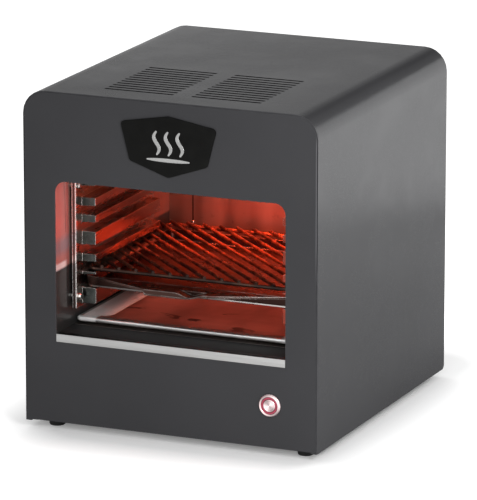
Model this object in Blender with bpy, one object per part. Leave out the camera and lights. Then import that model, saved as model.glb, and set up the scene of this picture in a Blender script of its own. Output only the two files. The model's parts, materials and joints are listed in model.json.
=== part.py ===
"""Electric grill with an open front, as its separate pieces.

Metres, +Z up, front towards -Y. The origin is on the ground, under the middle of the grill.
"""

import math

import bmesh
import bpy
from mathutils import Matrix, Vector

# Fits, and how fine round forms are
GAP = 0.0003
OVERRUN = 0.002
EMBED = 0.0004
WELD = 0.000001
ARC_STEPS = 6
SMALL_ROUND_SIDES = 10
PLAIN_ROUND_SIDES = 16
ROUND_SIDES = 28
WIRE_SIDES = 8
SMOOTH_ANGLE = math.radians(35)

# Housing sheet
BODY_WIDTH = 0.330
BODY_DEPTH = 0.360
BODY_HEIGHT = 0.355
GROUND_CLEARANCE = 0.0092
HOUSING_SHEET = 0.0012
HOUSING_BEND = 0.025
HOUSING_LIP = 0.0065
HOUSING_FLANGE = 0.012
HOUSING_REAR_CORNER = 0.005
PANEL_SHEET = 0.0015

# Vent slots in the top, in two groups side by side
VENT_COUNT = 12
VENT_LENGTH = 0.076
VENT_WIDTH = 0.0030
VENT_PITCH = 0.0101
VENT_GROUP_GAP = 0.022
VENT_SETBACK = 0.035

# Opening in the front panel, with the strip and the shelf in its lower edge
OPENING_SIDE_MARGIN = 0.0355
OPENING_BOTTOM_HEIGHT = 0.0881
OPENING_TOP_DROP = 0.0945
OPENING_RADIUS = 0.012
STRIP_RISE = 0.0087
STRIP_SHEET = 0.0009
STRIP_LEG = 0.009
SILL_SHEET = 0.0012
SILL_DEPTH = 0.044
SILL_FLANGE = 0.014

# Cavity walls
LINER_SHEET = 0.0008
LINER_FLANGE = 0.010
LINER_SKIRT = 0.009
LINER_OVER_OPENING = 0.003
CAVITY_REAR_SPACE = 0.070

# Heater over the cavity
REFLECTOR_HEIGHT = 0.0285
ELEMENT_OVER_LINER = 0.0135
ELEMENT_RADIUS = 0.004
ELEMENT_LEGS = 6
ELEMENT_SIDE_SPACE = 0.0395
ELEMENT_SETBACK = 0.040
ELEMENT_BACK_SPACE = 0.050
ELEMENT_TAIL = 0.024
BRACKET_SHEET = 0.0015
BRACKET_SEAT = 0.005
BRACKET_SPACING = 0.130
BUSHING_NECK = 0.007
BUSHING_COLLAR = 0.010
BUSHING_COLLAR_LENGTH = 0.005
BUSHING_NOSE = 0.003

# Insulation and heat shield
INSULATION_TOP = 0.025
INSULATION_SIDE = 0.018
SHIELD_SHEET = 0.0008
SHIELD_FOOT = 0.007
SHIELD_SETBACK = 0.038

# Side racks: one pressed sheet each, with ribs that form the grooves
RACK_SHEET = 0.0008
RACK_STANDOFF = 0.0083
RACK_RETURN = 0.0047
RACK_FRONT = 0.033
RACK_REAR_SPACE = 0.060
RIB_FRONT = 0.048
RIB_REAR_MARGIN = 0.016
RIB_DEPTH = 0.0150
RIB_DRAFT = 0.0008
RACK_START = 0.0224
RACK_TOP_SPACE = 0.0065
RACK_MARGIN = 0.0022
RIB_SHARES = (0.140, 0.028, 0.069, 0.118, 0.069, 0.0745, 0.0865)
PAN_GROOVE_SHARE = 0.107
UPPER_GROOVE_SHARES = (0.073, 0.071, 0.069, 0.095)

# Studs with round nuts that carry the racks
STUD_NECK = 0.0022
STUD_SPACER = 0.0040
STUD_NUT = 0.0040
STUD_NUT_LENGTH = 0.0026
STUD_NUT_CHAMFER = 0.0006
STUD_LOW = 0.0095
STUD_HIGH = 0.0085

# Grate: the groove that it lies in takes its height from it
GRATE_SIDE_CLEARANCE = 0.0012
GRATE_TOP_CLEARANCE = 0.0029
GRATE_FRONT = 0.050
GRATE_REAR_SPACE = 0.028
GRATE_CORNER = 0.012
GRATE_FRAME = 0.0022
GRATE_BAR = 0.0019
GRATE_BAR_LIFT = 0.0029
GRATE_BAR_PITCH = 0.0195
GRATE_BAR_OVERHANG = 0.0012

# Juice pan
PAN_SIDE_CLEARANCE = 0.0010
PAN_TOP_CLEARANCE = 0.0012
PAN_FRONT = 0.048
PAN_REAR_SPACE = 0.022
PAN_SHEET = 0.0010
PAN_SLOPE = 0.0030
PAN_CORNER = 0.008
APRON_FRONT = 0.0200
APRON_NOSE_WIDTH = 0.078
APRON_ROOT_INSET = 0.0092
APRON_HEM = 0.0022

# The pan's lip, turned down at the nose, and the pouring spout pressed into it
LIP_END_INSET = 0.0008
LIP_DROP = 0.0060
LIP_ROUND = 0.0020
LIP_SHEET = 0.0014
LIP_PROUD = 0.0006
LIP_RISE_START = 0.0085
LIP_RISE_END = 0.0325
LIP_RISE_STEPS = 8
LIP_RIM = 0.0012
LIP_RIM_PROUD = 0.0006
SPOUT_X = 0.0133
SPOUT_WIDTH = 0.0300
SPOUT_DEPTH = 0.0038
SPOUT_LENGTH = 0.0120
SPOUT_STEPS = 12

# Drip tray
TRAY_SIDE_CLEARANCE = 0.0014
TRAY_FRONT = 0.0450
TRAY_REAR_SPACE = 0.004
TRAY_HEIGHT = 0.0078
TRAY_SHEET = 0.0010
TRAY_RIM = 0.0100
TRAY_ROLL = 0.0046
TRAY_ROLL_WALL = 0.0022
TRAY_ROLL_ROUND = 0.0012
TRAY_SLOPE = 0.0130
TRAY_SIDE_RIM = 0.0050
TRAY_SIDE_SLOPE = 0.0180
TRAY_CORNER = 0.0060
TRAY_BASIN_CORNER = 0.0300

# Badge plate: its points are shares of the band between the opening and the top
BADGE_SHEET = 0.0018
BADGE_TOP_SHARE = 0.151
BADGE_SHOULDER_SHARE = 0.249
BADGE_WAIST_SHARE = 0.677
BADGE_TIP_SHARE = 0.836
BADGE_SHOULDER = 0.0540
BADGE_WAIST = 0.0435
BADGE_ROUND = 0.0040
BADGE_EDGE = 0.0004

# Push button
BUTTON_INSET = 0.0525
BUTTON_HEIGHT = 0.0467
BUTTON_HOLE = 0.0111
BEZEL_RADIUS = 0.0125
BEZEL_PROUD = 0.0025
BEZEL_EDGE = 0.0008
BEZEL_CROWN = 0.0016
BARREL_LENGTH = 0.012
RING_RADIUS = 0.00885
RING_DEPTH = 0.0020
RING_INSET = 0.0002
CAP_RADIUS = 0.0068
CAP_LENGTH = 0.0078
CAP_EDGE = 0.0005
CAP_DISH = 0.0004
CAP_DISH_RADIUS = 0.0052
STEM_RADIUS = 0.0020
STEM_LENGTH = 0.0120
BUTTON_TRAVEL = 0.0020
BUTTON_NUT_RADIUS = 0.0155
BUTTON_NUT_LENGTH = 0.0040
SWITCH_RADIUS = 0.0102
SWITCH_LENGTH = 0.0220
SWITCH_STEP = 0.0016
SWITCH_STEP_LENGTH = 0.0060
SWITCH_HOLE_DEPTH = 0.0120

# Feet and their screws
FOOT_SIDE_INSET = 0.0235
FOOT_FRONT_INSET = 0.0270
FOOT_REAR_INSET = 0.0330
FOOT_RADIUS = 0.0085
FOOT_FLARE = 0.0008
FOOT_EDGE = 0.0008
FOOT_BORE = 0.0024
FOOT_RECESS = 0.0046
FOOT_RECESS_DEPTH = 0.0050
FOOT_SCREW_RADIUS = 0.0020
FOOT_SCREW_HEAD = 0.0040
FOOT_SCREW_HEAD_LENGTH = 0.0024
FOOT_SCREW_TIP = 0.0060
SCREW_CHAMFER = 0.0005

# Base plate
BASE_FLANGE_HEIGHT = 0.015
BASE_TAB_INSET = 0.026
BASE_SLOT_COUNT = 8
BASE_SLOT_LENGTH = 0.060
BASE_SLOT_WIDTH = 0.004
BASE_SLOT_PITCH = 0.012

# Rear panel, its slots and screws
REAR_SLOT_COUNT = 8
REAR_SLOT_LENGTH = 0.070
REAR_SLOT_WIDTH = 0.004
REAR_SLOT_PITCH = 0.011
REAR_SLOT_GAP = 0.030
REAR_SLOT_DROP = 0.060
REAR_SCREW_HOLE = 0.0022
REAR_SCREW_RADIUS = 0.0019
REAR_SCREW_HEAD = 0.0036
REAR_SCREW_HEAD_LENGTH = 0.0020
REAR_SCREW_LENGTH = 0.0080
REAR_SCREW_LOW = 0.050
REAR_SCREW_TOP_DROP = 0.055
REAR_SCREW_ROWS = 3

# Cable gland
GLAND_INSET = 0.060
GLAND_HEIGHT = 0.050
GLAND_BORE = 0.0040
GLAND_NECK = 0.0078
GLAND_FLANGE = 0.0110
GLAND_PROUD = 0.0025
GLAND_EDGE = 0.0008
GLAND_LENGTH = 0.0120
GLAND_NUT_RADIUS = 0.0125
GLAND_NUT_LENGTH = 0.0050

# Electrical pieces inside
BLOCK_LENGTH = 0.042
BLOCK_DEPTH = 0.022
BLOCK_HEIGHT = 0.018
BLOCK_STEP = 0.005
BLOCK_WAY_PITCH = 0.012
BLOCK_WAY_RADIUS = 0.0032
BLOCK_WAY_DEPTH = 0.0080
BLOCK_WAYS = 3
BLOCK_REAR_SPACE = 0.036
CUTOUT_X = 0.040
CUTOUT_DROP = 0.0735
CUTOUT_FLANGE = 0.0120
CUTOUT_FLANGE_LENGTH = 0.0014
CUTOUT_RADIUS = 0.0080
CUTOUT_LENGTH = 0.0085
CUTOUT_EDGE = 0.0012
LEAD_RADIUS = 0.0020
LEAD_BEND = 0.014
LEAD_LEVEL = 0.012
LEAD_STEPS = 4
BEND_SHARE = 0.45
LEAD_GAP = 0.0010

# Places worked out from the sizes above
FRONT = -BODY_DEPTH / 2
REAR = BODY_DEPTH / 2
BOTTOM = GROUND_CLEARANCE
TOP = BOTTOM + BODY_HEIGHT
SIDE = BODY_WIDTH / 2
INSIDE = SIDE - HOUSING_SHEET
LIP_TOP = BOTTOM + HOUSING_SHEET
PANEL_BACK = FRONT + PANEL_SHEET + GAP
REAR_PANEL_FRONT = REAR - PANEL_SHEET - GAP
CAVITY_SIDE = SIDE - OPENING_SIDE_MARGIN
OPENING_BOTTOM = BOTTOM + OPENING_BOTTOM_HEIGHT
OPENING_TOP = TOP - OPENING_TOP_DROP
STRIP_TOP = OPENING_BOTTOM + STRIP_RISE
CAVITY_FLOOR = STRIP_TOP
CAVITY_REAR = REAR - CAVITY_REAR_SPACE
LINER_TOP = OPENING_TOP + LINER_OVER_OPENING
LINER_BOTTOM = CAVITY_FLOOR - LINER_SKIRT
LINER_SIDE = CAVITY_SIDE + LINER_SHEET
REFLECTOR_BOTTOM = LINER_TOP + GAP
REFLECTOR_TOP = REFLECTOR_BOTTOM + REFLECTOR_HEIGHT
REFLECTOR_REAR = CAVITY_REAR + LINER_SHEET
ELEMENT_LEVEL = LINER_TOP + ELEMENT_OVER_LINER
ELEMENT_PITCH = 2 * (CAVITY_SIDE - ELEMENT_SIDE_SPACE) / (ELEMENT_LEGS - 1)
ELEMENT_TURN = ELEMENT_PITCH / 2
INSULATION_BOTTOM = REFLECTOR_TOP + GAP
SHIELD_SIDE = LINER_SIDE + GAP + INSULATION_SIDE + GAP
SHIELD_TOP = INSULATION_BOTTOM + INSULATION_TOP + GAP
BASE_BOTTOM = LIP_TOP + GAP
BASE_TOP = BASE_BOTTOM + PANEL_SHEET
RACK_FACE = CAVITY_SIDE - RACK_STANDOFF
RACK_BACK = CAVITY_REAR - RACK_REAR_SPACE
RIB_BACK = RACK_BACK - RIB_REAR_MARGIN
GRATE_GROOVE = GAP + GRATE_FRAME + GRATE_BAR_LIFT + GRATE_BAR + GRATE_TOP_CLEARANCE
RACK_HEIGHT = LINER_TOP - RACK_TOP_SPACE - CAVITY_FLOOR - RACK_START - GRATE_GROOVE
PAN_GROOVE = RACK_HEIGHT * PAN_GROOVE_SHARE
PAN_HALF = RACK_FACE - PAN_SIDE_CLEARANCE
PAN_HEIGHT = PAN_GROOVE - GAP - PAN_TOP_CLEARANCE
BADGE_BAND = TOP - OPENING_TOP
BUTTON_X = SIDE - BUTTON_INSET
BUTTON_Z = BOTTOM + BUTTON_HEIGHT
GLAND_X = SIDE - GLAND_INSET
GLAND_Z = BOTTOM + GLAND_HEIGHT
CAP_BORE = CAP_RADIUS + GAP

COLOURS = {
    "satin_paint": ((0.068, 0.069, 0.072), 0.42, 0.25),
    "sill_paint": ((0.045, 0.045, 0.047), 0.45, 0.2),
    "brushed_steel": ((0.62, 0.62, 0.61), 0.30, 1.0),
    "polished_steel": ((0.66, 0.64, 0.62), 0.14, 1.0),
    "aluminised_steel": ((0.48, 0.48, 0.47), 0.42, 1.0),
    "element_sheath": ((0.85, 0.16, 0.04), 0.50, 0.3),
    "ceramic": ((0.82, 0.79, 0.72), 0.60, 0.0),
    "mineral_wool": ((0.74, 0.70, 0.58), 0.95, 0.0),
    "badge_black": ((0.028, 0.028, 0.028), 0.45, 0.0),
    "button_chrome": ((0.80, 0.80, 0.80), 0.12, 1.0),
    "ring_lens": ((0.75, 0.05, 0.10), 0.25, 0.0),
    "black_rubber": ((0.018, 0.018, 0.018), 0.80, 0.0),
    "black_plastic": ((0.025, 0.025, 0.026), 0.50, 0.0),
    "white_plastic": ((0.78, 0.77, 0.73), 0.45, 0.0),
    "zinc_steel": ((0.55, 0.55, 0.53), 0.35, 1.0),
    "lead_sleeve": ((0.50, 0.06, 0.03), 0.70, 0.0),
}


# Helpers for outlines
def arc(centre, radius, start, end, steps=ARC_STEPS):
    """Points of a circular arc, both ends included. Angles in degrees."""
    points = []
    for step in range(steps + 1):
        angle = math.radians(start + (end - start) * step / steps)
        points.append((centre[0] + radius * math.cos(angle), centre[1] + radius * math.sin(angle)))
    return points


def arch(half_width, bottom, top, radius):
    """Arch with rounded top corners, from its right foot over the top to its left foot."""
    right = arc((half_width - radius, top - radius), radius, 0, 90)
    left = arc((radius - half_width, top - radius), radius, 90, 180)
    return [(half_width, bottom)] + right + left + [(-half_width, bottom)]


def rectangle(low_u, low_v, high_u, high_v):
    return [(low_u, low_v), (high_u, low_v), (high_u, high_v), (low_u, high_v)]


def rounded_rectangle(centre, half_u, half_v, radius, steps=ARC_STEPS):
    points = []
    for corner, (sign_u, sign_v) in enumerate(((1, 1), (-1, 1), (-1, -1), (1, -1))):
        middle = (centre[0] + sign_u * (half_u - radius), centre[1] + sign_v * (half_v - radius))
        points += arc(middle, radius, corner * 90, corner * 90 + 90, steps)
    return points


def slot(centre, length, width, upright=False):
    """Stadium outline, along u or, upright, along v."""
    reach = (length - width) / 2
    steps = ARC_STEPS // 2
    if upright:
        top = arc((centre[0], centre[1] + reach), width / 2, 0, 180, steps)
        return top + arc((centre[0], centre[1] - reach), width / 2, 180, 360, steps)
    right = arc((centre[0] + reach, centre[1]), width / 2, -90, 90, steps)
    return right + arc((centre[0] - reach, centre[1]), width / 2, 90, 270, steps)


def rounded_corners(corners, radius, steps=ARC_STEPS):
    """Closed outline whose corners are replaced by tangent arcs."""
    points = []
    count = len(corners)
    for index in range(count):
        here = Vector(corners[index])
        back = (Vector(corners[index - 1]) - here).normalized()
        ahead = (Vector(corners[(index + 1) % count]) - here).normalized()
        half = back.angle(ahead) / 2
        centre = here + (back + ahead).normalized() * radius / math.sin(half)
        spoke = here + back * radius / math.tan(half) - centre
        turn = (math.pi - 2 * half) * (1 if back.cross(ahead) < 0 else -1)
        for step in range(steps + 1):
            points.append(tuple(centre + Matrix.Rotation(turn * step / steps, 2) @ spoke))
    return points


def offset_path(points, distance):
    """Open path moved to its left side by a distance, with mitred corners."""
    moved = []
    for index, point in enumerate(points):
        here = Vector(point)
        normals = []
        for start, end in zip(points[max(index - 1, 0):], points[max(index - 1, 0) + 1:index + 2]):
            run = (Vector(end) - Vector(start)).normalized()
            normals.append(Vector((-run.y, run.x)))
        mitre = sum(normals, Vector((0, 0))).normalized()
        moved.append(tuple(here + mitre * distance / mitre.dot(normals[0])))
    return moved


# Helpers for solids
def at(u, v, t, axis):
    """A point from its place in an outline and its place along the outline's axis."""
    if axis == "X":
        return (t, u, v)
    if axis == "Y":
        return (u, t, v)
    return (u, v, t)


def add_prism(bm, outline, low, high, axis):
    face = bm.faces.new([bm.verts.new(at(u, v, low, axis)) for u, v in outline])
    result = bmesh.ops.extrude_face_region(bm, geom=[face], use_keep_orig=True)
    moved = [item for item in result["geom"] if isinstance(item, bmesh.types.BMVert)]
    bmesh.ops.translate(bm, verts=moved, vec=Vector(at(0, 0, high - low, axis)))


def prism(outline, low, high, axis):
    bm = bmesh.new()
    add_prism(bm, outline, low, high, axis)
    return bm


def add_rod(bm, start, end, radius, sides=WIRE_SIDES):
    """Straight round bar between two points."""
    run = Vector(end) - Vector(start)
    turn = run.to_track_quat("Z", "Y").to_matrix().to_4x4()
    place = Matrix.Translation((Vector(start) + Vector(end)) / 2) @ turn
    bmesh.ops.create_cone(
        bm, cap_ends=True, segments=sides, radius1=radius, radius2=radius, depth=run.length, matrix=place
    )


def rod(start, end, radius, sides=WIRE_SIDES):
    bm = bmesh.new()
    add_rod(bm, start, end, radius, sides)
    return bm


def turned(profile, sides=ROUND_SIDES):
    """Solid turned round +Z from (radius, height) points; one that starts off the axis is a closed ring."""
    bm = bmesh.new()
    verts = [bm.verts.new((radius, 0, height)) for radius, height in profile]
    edges = [bm.edges.new(pair) for pair in zip(verts, verts[1:])]
    if profile[0][0] > 0:
        edges.append(bm.edges.new((verts[-1], verts[0])))
    bmesh.ops.spin(
        bm, geom=verts + edges, axis=(0, 0, 1), cent=(0, 0, 0), angle=math.tau, steps=sides, use_merge=True
    )
    bmesh.ops.remove_doubles(bm, verts=bm.verts, dist=WELD)
    return bm


def loft(rings):
    """Skin through loops of equal count, closed by the first and the last loop."""
    bm = bmesh.new()
    loops = [[bm.verts.new(point) for point in ring] for ring in rings]
    for near, far in zip(loops, loops[1:]):
        for index in range(len(near)):
            following = (index + 1) % len(near)
            bm.faces.new((near[index], near[following], far[following], far[index]))
    bm.faces.new(loops[0])
    bm.faces.new(loops[-1])
    return bm


def wire_loop(path, radius, sides=WIRE_SIDES):
    """Round wire along a closed path that lies level."""
    rings = []
    count = len(path)
    for index in range(count):
        here = Vector(path[index])
        run = (Vector(path[(index + 1) % count]) - Vector(path[index - 1])).normalized()
        out = Vector((run.y, -run.x, 0))
        ring = []
        for side in range(sides):
            angle = math.tau * side / sides
            ring.append(here + out * radius * math.cos(angle) + Vector((0, 0, radius * math.sin(angle))))
        rings.append(ring)
    bm = bmesh.new()
    loops = [[bm.verts.new(point) for point in ring] for ring in rings]
    for index in range(count):
        near = loops[index - 1]
        far = loops[index]
        for side in range(sides):
            following = (side + 1) % sides
            bm.faces.new((near[side], near[following], far[following], far[side]))
    return bm


def bent_route(points, bend=LEAD_BEND, steps=LEAD_STEPS):
    """Route whose corners are rounded."""
    route = [Vector(points[0])]
    for before, corner, after in zip(points, points[1:], points[2:]):
        corner = Vector(corner)
        back = Vector(before) - corner
        ahead = Vector(after) - corner
        start = corner + back.normalized() * min(bend, back.length * BEND_SHARE)
        end = corner + ahead.normalized() * min(bend, ahead.length * BEND_SHARE)
        for step in range(steps + 1):
            share = step / steps
            route.append(start.lerp(corner, share).lerp(corner.lerp(end, share), share))
    route.append(Vector(points[-1]))
    return route


# Helpers for objects
def material(name):
    found = bpy.data.materials.get(name)
    if found:
        return found
    colour, roughness, metallic = COLOURS[name]
    found = bpy.data.materials.new(name)
    found.use_nodes = True
    shader = found.node_tree.nodes["Principled BSDF"]
    shader.inputs["Base Color"].default_value = (*colour, 1.0)
    shader.inputs["Roughness"].default_value = roughness
    shader.inputs["Metallic"].default_value = metallic
    found.diffuse_color = (*colour, 1.0)
    return found


def mesh_object(name, bm, material_name=None, origin=(0, 0, 0)):
    """Object from a bmesh in world places, with its origin where the piece is held."""
    bmesh.ops.recalc_face_normals(bm, faces=bm.faces)
    bmesh.ops.translate(bm, verts=bm.verts, vec=-Vector(origin))
    mesh = bpy.data.meshes.new(name)
    bm.to_mesh(mesh)
    bm.free()
    mesh.shade_smooth()
    mesh.set_sharp_from_angle(angle=SMOOTH_ANGLE)
    piece = bpy.data.objects.new(name, mesh)
    piece.location = origin
    if material_name:
        mesh.materials.append(material(material_name))
    bpy.context.collection.objects.link(piece)
    return piece


def turned_object(name, profile, material_name, location, direction, sides=ROUND_SIDES):
    """Turned piece whose +Z end points in a direction."""
    piece = mesh_object(name, turned(profile, sides), material_name)
    piece.rotation_euler = Vector(direction).to_track_quat("Z", "Y").to_euler()
    piece.location = location
    return piece


def apply_tool(piece, tool, operation):
    """Boolean of a hidden tool object on a piece."""
    tool.hide_render = True
    tool.display_type = "WIRE"
    modifier = piece.modifiers.new(tool.name, "BOOLEAN")
    modifier.operation = operation
    modifier.solver = "EXACT"
    modifier.object = tool


def cut(piece, bm, what):
    apply_tool(piece, mesh_object(f"{piece.name}_{what}_cutter", bm), "DIFFERENCE")


def fuse(piece, bm, what):
    apply_tool(piece, mesh_object(f"{piece.name}_{what}_form", bm), "UNION")


def lead_object(name, route, material_name):
    """Round insulated wire along a smooth route, as a curve with filled caps."""
    curve = bpy.data.curves.new(name, "CURVE")
    curve.dimensions = "3D"
    curve.bevel_depth = LEAD_RADIUS
    curve.bevel_resolution = 1
    curve.use_fill_caps = True
    points = bent_route(route)
    spline = curve.splines.new("POLY")
    spline.points.add(len(points) - 1)
    for point, place in zip(spline.points, points):
        point.co = (*place, 1)
    curve.materials.append(material(material_name))
    piece = bpy.data.objects.new(name, curve)
    bpy.context.collection.objects.link(piece)
    return piece


# Housing
def housing_profile():
    """Folded sheet seen from the front: side, top, side, and the lips turned in under it."""
    inner = arch(INSIDE, LIP_TOP, TOP - HOUSING_SHEET, HOUSING_BEND - HOUSING_SHEET)
    lip = SIDE - HOUSING_LIP
    return (
        arch(SIDE, BOTTOM, TOP, HOUSING_BEND)
        + [(-lip, BOTTOM), (-lip, LIP_TOP)]
        + inner[::-1]
        + [(lip, LIP_TOP), (lip, BOTTOM)]
    )


def flange_ring(low, high):
    """Flange turned in along the sheet's edge, which a panel rests on."""
    middle = HOUSING_SHEET / 2
    outer = arch(SIDE - middle, BOTTOM + middle, TOP - middle, HOUSING_BEND - middle)
    reach = HOUSING_SHEET + HOUSING_FLANGE
    inner = arch(SIDE - reach, BOTTOM + middle, TOP - reach, HOUSING_BEND - reach)
    return prism(outer + inner[::-1], low, high, "Y")


def vent_places():
    half = (VENT_LENGTH + VENT_GROUP_GAP) / 2
    for centre_x in (-half, half):
        for row in range(VENT_COUNT):
            yield centre_x, FRONT + VENT_SETBACK + row * VENT_PITCH


def rear_screw_places():
    x = SIDE - HOUSING_SHEET - HOUSING_FLANGE / 2
    rise = (BODY_HEIGHT - REAR_SCREW_TOP_DROP - REAR_SCREW_LOW) / (REAR_SCREW_ROWS - 1)
    for side in (-1, 1):
        for row in range(REAR_SCREW_ROWS):
            yield side * x, BOTTOM + REAR_SCREW_LOW + row * rise


def rear_screw_holes():
    bm = bmesh.new()
    for x, z in rear_screw_places():
        near = (x, REAR - HOUSING_FLANGE, z)
        add_rod(bm, near, (x, REAR + OVERRUN, z), REAR_SCREW_HOLE, SMALL_ROUND_SIDES)
    return bm


def make_outer_housing():
    housing = mesh_object("outer_housing", prism(housing_profile(), FRONT, REAR, "Y"), "satin_paint")
    fuse(housing, flange_ring(PANEL_BACK, PANEL_BACK + HOUSING_SHEET), "front_flange")
    fuse(housing, flange_ring(REAR_PANEL_FRONT - HOUSING_SHEET, REAR_PANEL_FRONT), "rear_flange")
    vents = bmesh.new()
    for centre in vent_places():
        outline = slot(centre, VENT_LENGTH, VENT_WIDTH)
        add_prism(vents, outline, TOP - HOUSING_SHEET - OVERRUN, TOP + OVERRUN, "Z")
    cut(housing, vents, "vents")
    cut(housing, rear_screw_holes(), "screw_holes")
    corner = arc((REAR - HOUSING_REAR_CORNER, BOTTOM + HOUSING_REAR_CORNER), HOUSING_REAR_CORNER, 0, -90)
    corner += [
        (REAR - HOUSING_REAR_CORNER, BOTTOM - OVERRUN),
        (REAR + OVERRUN, BOTTOM - OVERRUN),
        (REAR + OVERRUN, BOTTOM + HOUSING_REAR_CORNER),
    ]
    cut(housing, prism(corner, -SIDE - OVERRUN, SIDE + OVERRUN, "X"), "corner")


def panel_outline():
    seam = HOUSING_SHEET + GAP
    return arch(SIDE - seam, LIP_TOP + GAP, TOP - seam, HOUSING_BEND - seam)


def make_front_panel():
    panel = mesh_object("front_panel", prism(panel_outline(), FRONT, FRONT + PANEL_SHEET, "Y"), "satin_paint")
    opening = arch(CAVITY_SIDE, OPENING_BOTTOM, OPENING_TOP, OPENING_RADIUS)
    cut(panel, prism(opening, FRONT - OVERRUN, PANEL_BACK + OVERRUN, "Y"), "opening")
    hole = rod(
        (BUTTON_X, FRONT - OVERRUN, BUTTON_Z), (BUTTON_X, PANEL_BACK + OVERRUN, BUTTON_Z), BUTTON_HOLE, ROUND_SIDES
    )
    cut(panel, hole, "button_hole")


def rear_slots():
    bm = bmesh.new()
    half = (REAR_SLOT_LENGTH + REAR_SLOT_GAP) / 2
    for centre_x in (-half, half):
        for row in range(REAR_SLOT_COUNT):
            centre = (centre_x, TOP - REAR_SLOT_DROP - row * REAR_SLOT_PITCH)
            outline = slot(centre, REAR_SLOT_LENGTH, REAR_SLOT_WIDTH)
            add_prism(bm, outline, REAR_PANEL_FRONT - OVERRUN, REAR + OVERRUN, "Y")
    return bm


def make_rear_panel():
    panel = mesh_object("rear_panel", prism(panel_outline(), REAR - PANEL_SHEET, REAR, "Y"), "satin_paint")
    cut(panel, rear_slots(), "slots")
    cut(panel, rear_screw_holes(), "screw_holes")
    near = (GLAND_X, REAR_PANEL_FRONT - OVERRUN, GLAND_Z)
    cut(panel, rod(near, (GLAND_X, REAR + OVERRUN, GLAND_Z), GLAND_NECK + GAP, ROUND_SIDES), "gland_hole")


def make_rear_screws():
    profile = [
        (0, REAR_SCREW_HEAD_LENGTH + GAP),
        (REAR_SCREW_HEAD - SCREW_CHAMFER, REAR_SCREW_HEAD_LENGTH + GAP),
        (REAR_SCREW_HEAD, REAR_SCREW_HEAD_LENGTH + GAP - SCREW_CHAMFER),
        (REAR_SCREW_HEAD, GAP),
        (REAR_SCREW_RADIUS, GAP),
        (REAR_SCREW_RADIUS, -REAR_SCREW_LENGTH),
        (0, -REAR_SCREW_LENGTH),
    ]
    for index, (x, z) in enumerate(rear_screw_places(), 1):
        turned_object(f"rear_screw_{index}", profile, "zinc_steel", (x, REAR, z), (0, 1, 0), SMALL_ROUND_SIDES)


# Base and feet
def foot_places():
    x = SIDE - FOOT_SIDE_INSET
    front = FRONT + FOOT_FRONT_INSET
    rear = REAR - FOOT_REAR_INSET
    return {
        "front_left": (-x, front),
        "front_right": (x, front),
        "rear_left": (-x, rear),
        "rear_right": (x, rear),
    }


def make_base_plate():
    wide_front = PANEL_BACK + HOUSING_SHEET + GAP
    plate = rectangle(-INSIDE + GAP, wide_front, INSIDE - GAP, -wide_front)
    base = mesh_object("base_plate", prism(plate, BASE_BOTTOM, BASE_TOP, "Z"), "satin_paint")
    low = PANEL_BACK
    high = -PANEL_BACK
    inner_low = low + PANEL_SHEET
    inner_high = high - PANEL_SHEET
    upturned = [
        (low, BASE_BOTTOM),
        (high, BASE_BOTTOM),
        (high, BASE_BOTTOM + BASE_FLANGE_HEIGHT),
        (inner_high, BASE_BOTTOM + BASE_FLANGE_HEIGHT),
        (inner_high, BASE_TOP),
        (inner_low, BASE_TOP),
        (inner_low, BASE_BOTTOM + BASE_FLANGE_HEIGHT),
        (low, BASE_BOTTOM + BASE_FLANGE_HEIGHT),
    ]
    fuse(base, prism(upturned, BASE_TAB_INSET - SIDE, SIDE - BASE_TAB_INSET, "X"), "flanges")
    holes = bmesh.new()
    for x, y in foot_places().values():
        add_rod(holes, (x, y, BASE_BOTTOM - OVERRUN), (x, y, BASE_TOP + OVERRUN), FOOT_BORE, SMALL_ROUND_SIDES)
    cut(base, holes, "screw_holes")
    slots = bmesh.new()
    for row in range(BASE_SLOT_COUNT):
        centre = ((row - (BASE_SLOT_COUNT - 1) / 2) * BASE_SLOT_PITCH, 0)
        outline = slot(centre, BASE_SLOT_LENGTH, BASE_SLOT_WIDTH, upright=True)
        add_prism(slots, outline, BASE_BOTTOM - OVERRUN, BASE_TOP + OVERRUN, "Z")
    cut(base, slots, "air_slots")


def make_feet():
    height = BASE_BOTTOM - GAP
    foot = [
        (FOOT_BORE, FOOT_RECESS_DEPTH),
        (FOOT_RECESS, FOOT_RECESS_DEPTH),
        (FOOT_RECESS, 0),
        (FOOT_RADIUS - FOOT_EDGE, 0),
        (FOOT_RADIUS, FOOT_EDGE),
        (FOOT_RADIUS + FOOT_FLARE, height),
        (FOOT_BORE, height),
    ]
    head_top = FOOT_RECESS_DEPTH - GAP
    head_bottom = head_top - FOOT_SCREW_HEAD_LENGTH
    screw = [
        (0, head_bottom),
        (FOOT_SCREW_HEAD - SCREW_CHAMFER, head_bottom),
        (FOOT_SCREW_HEAD, head_bottom + SCREW_CHAMFER),
        (FOOT_SCREW_HEAD, head_top),
        (FOOT_SCREW_RADIUS, head_top),
        (FOOT_SCREW_RADIUS, BASE_TOP + FOOT_SCREW_TIP),
        (0, BASE_TOP + FOOT_SCREW_TIP),
    ]
    for name, (x, y) in foot_places().items():
        turned_object(f"foot_{name}", foot, "black_rubber", (x, y, 0), (0, 0, 1), PLAIN_ROUND_SIDES)
        turned_object(f"foot_screw_{name}", screw, "zinc_steel", (x, y, 0), (0, 0, 1), SMALL_ROUND_SIDES)


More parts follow.
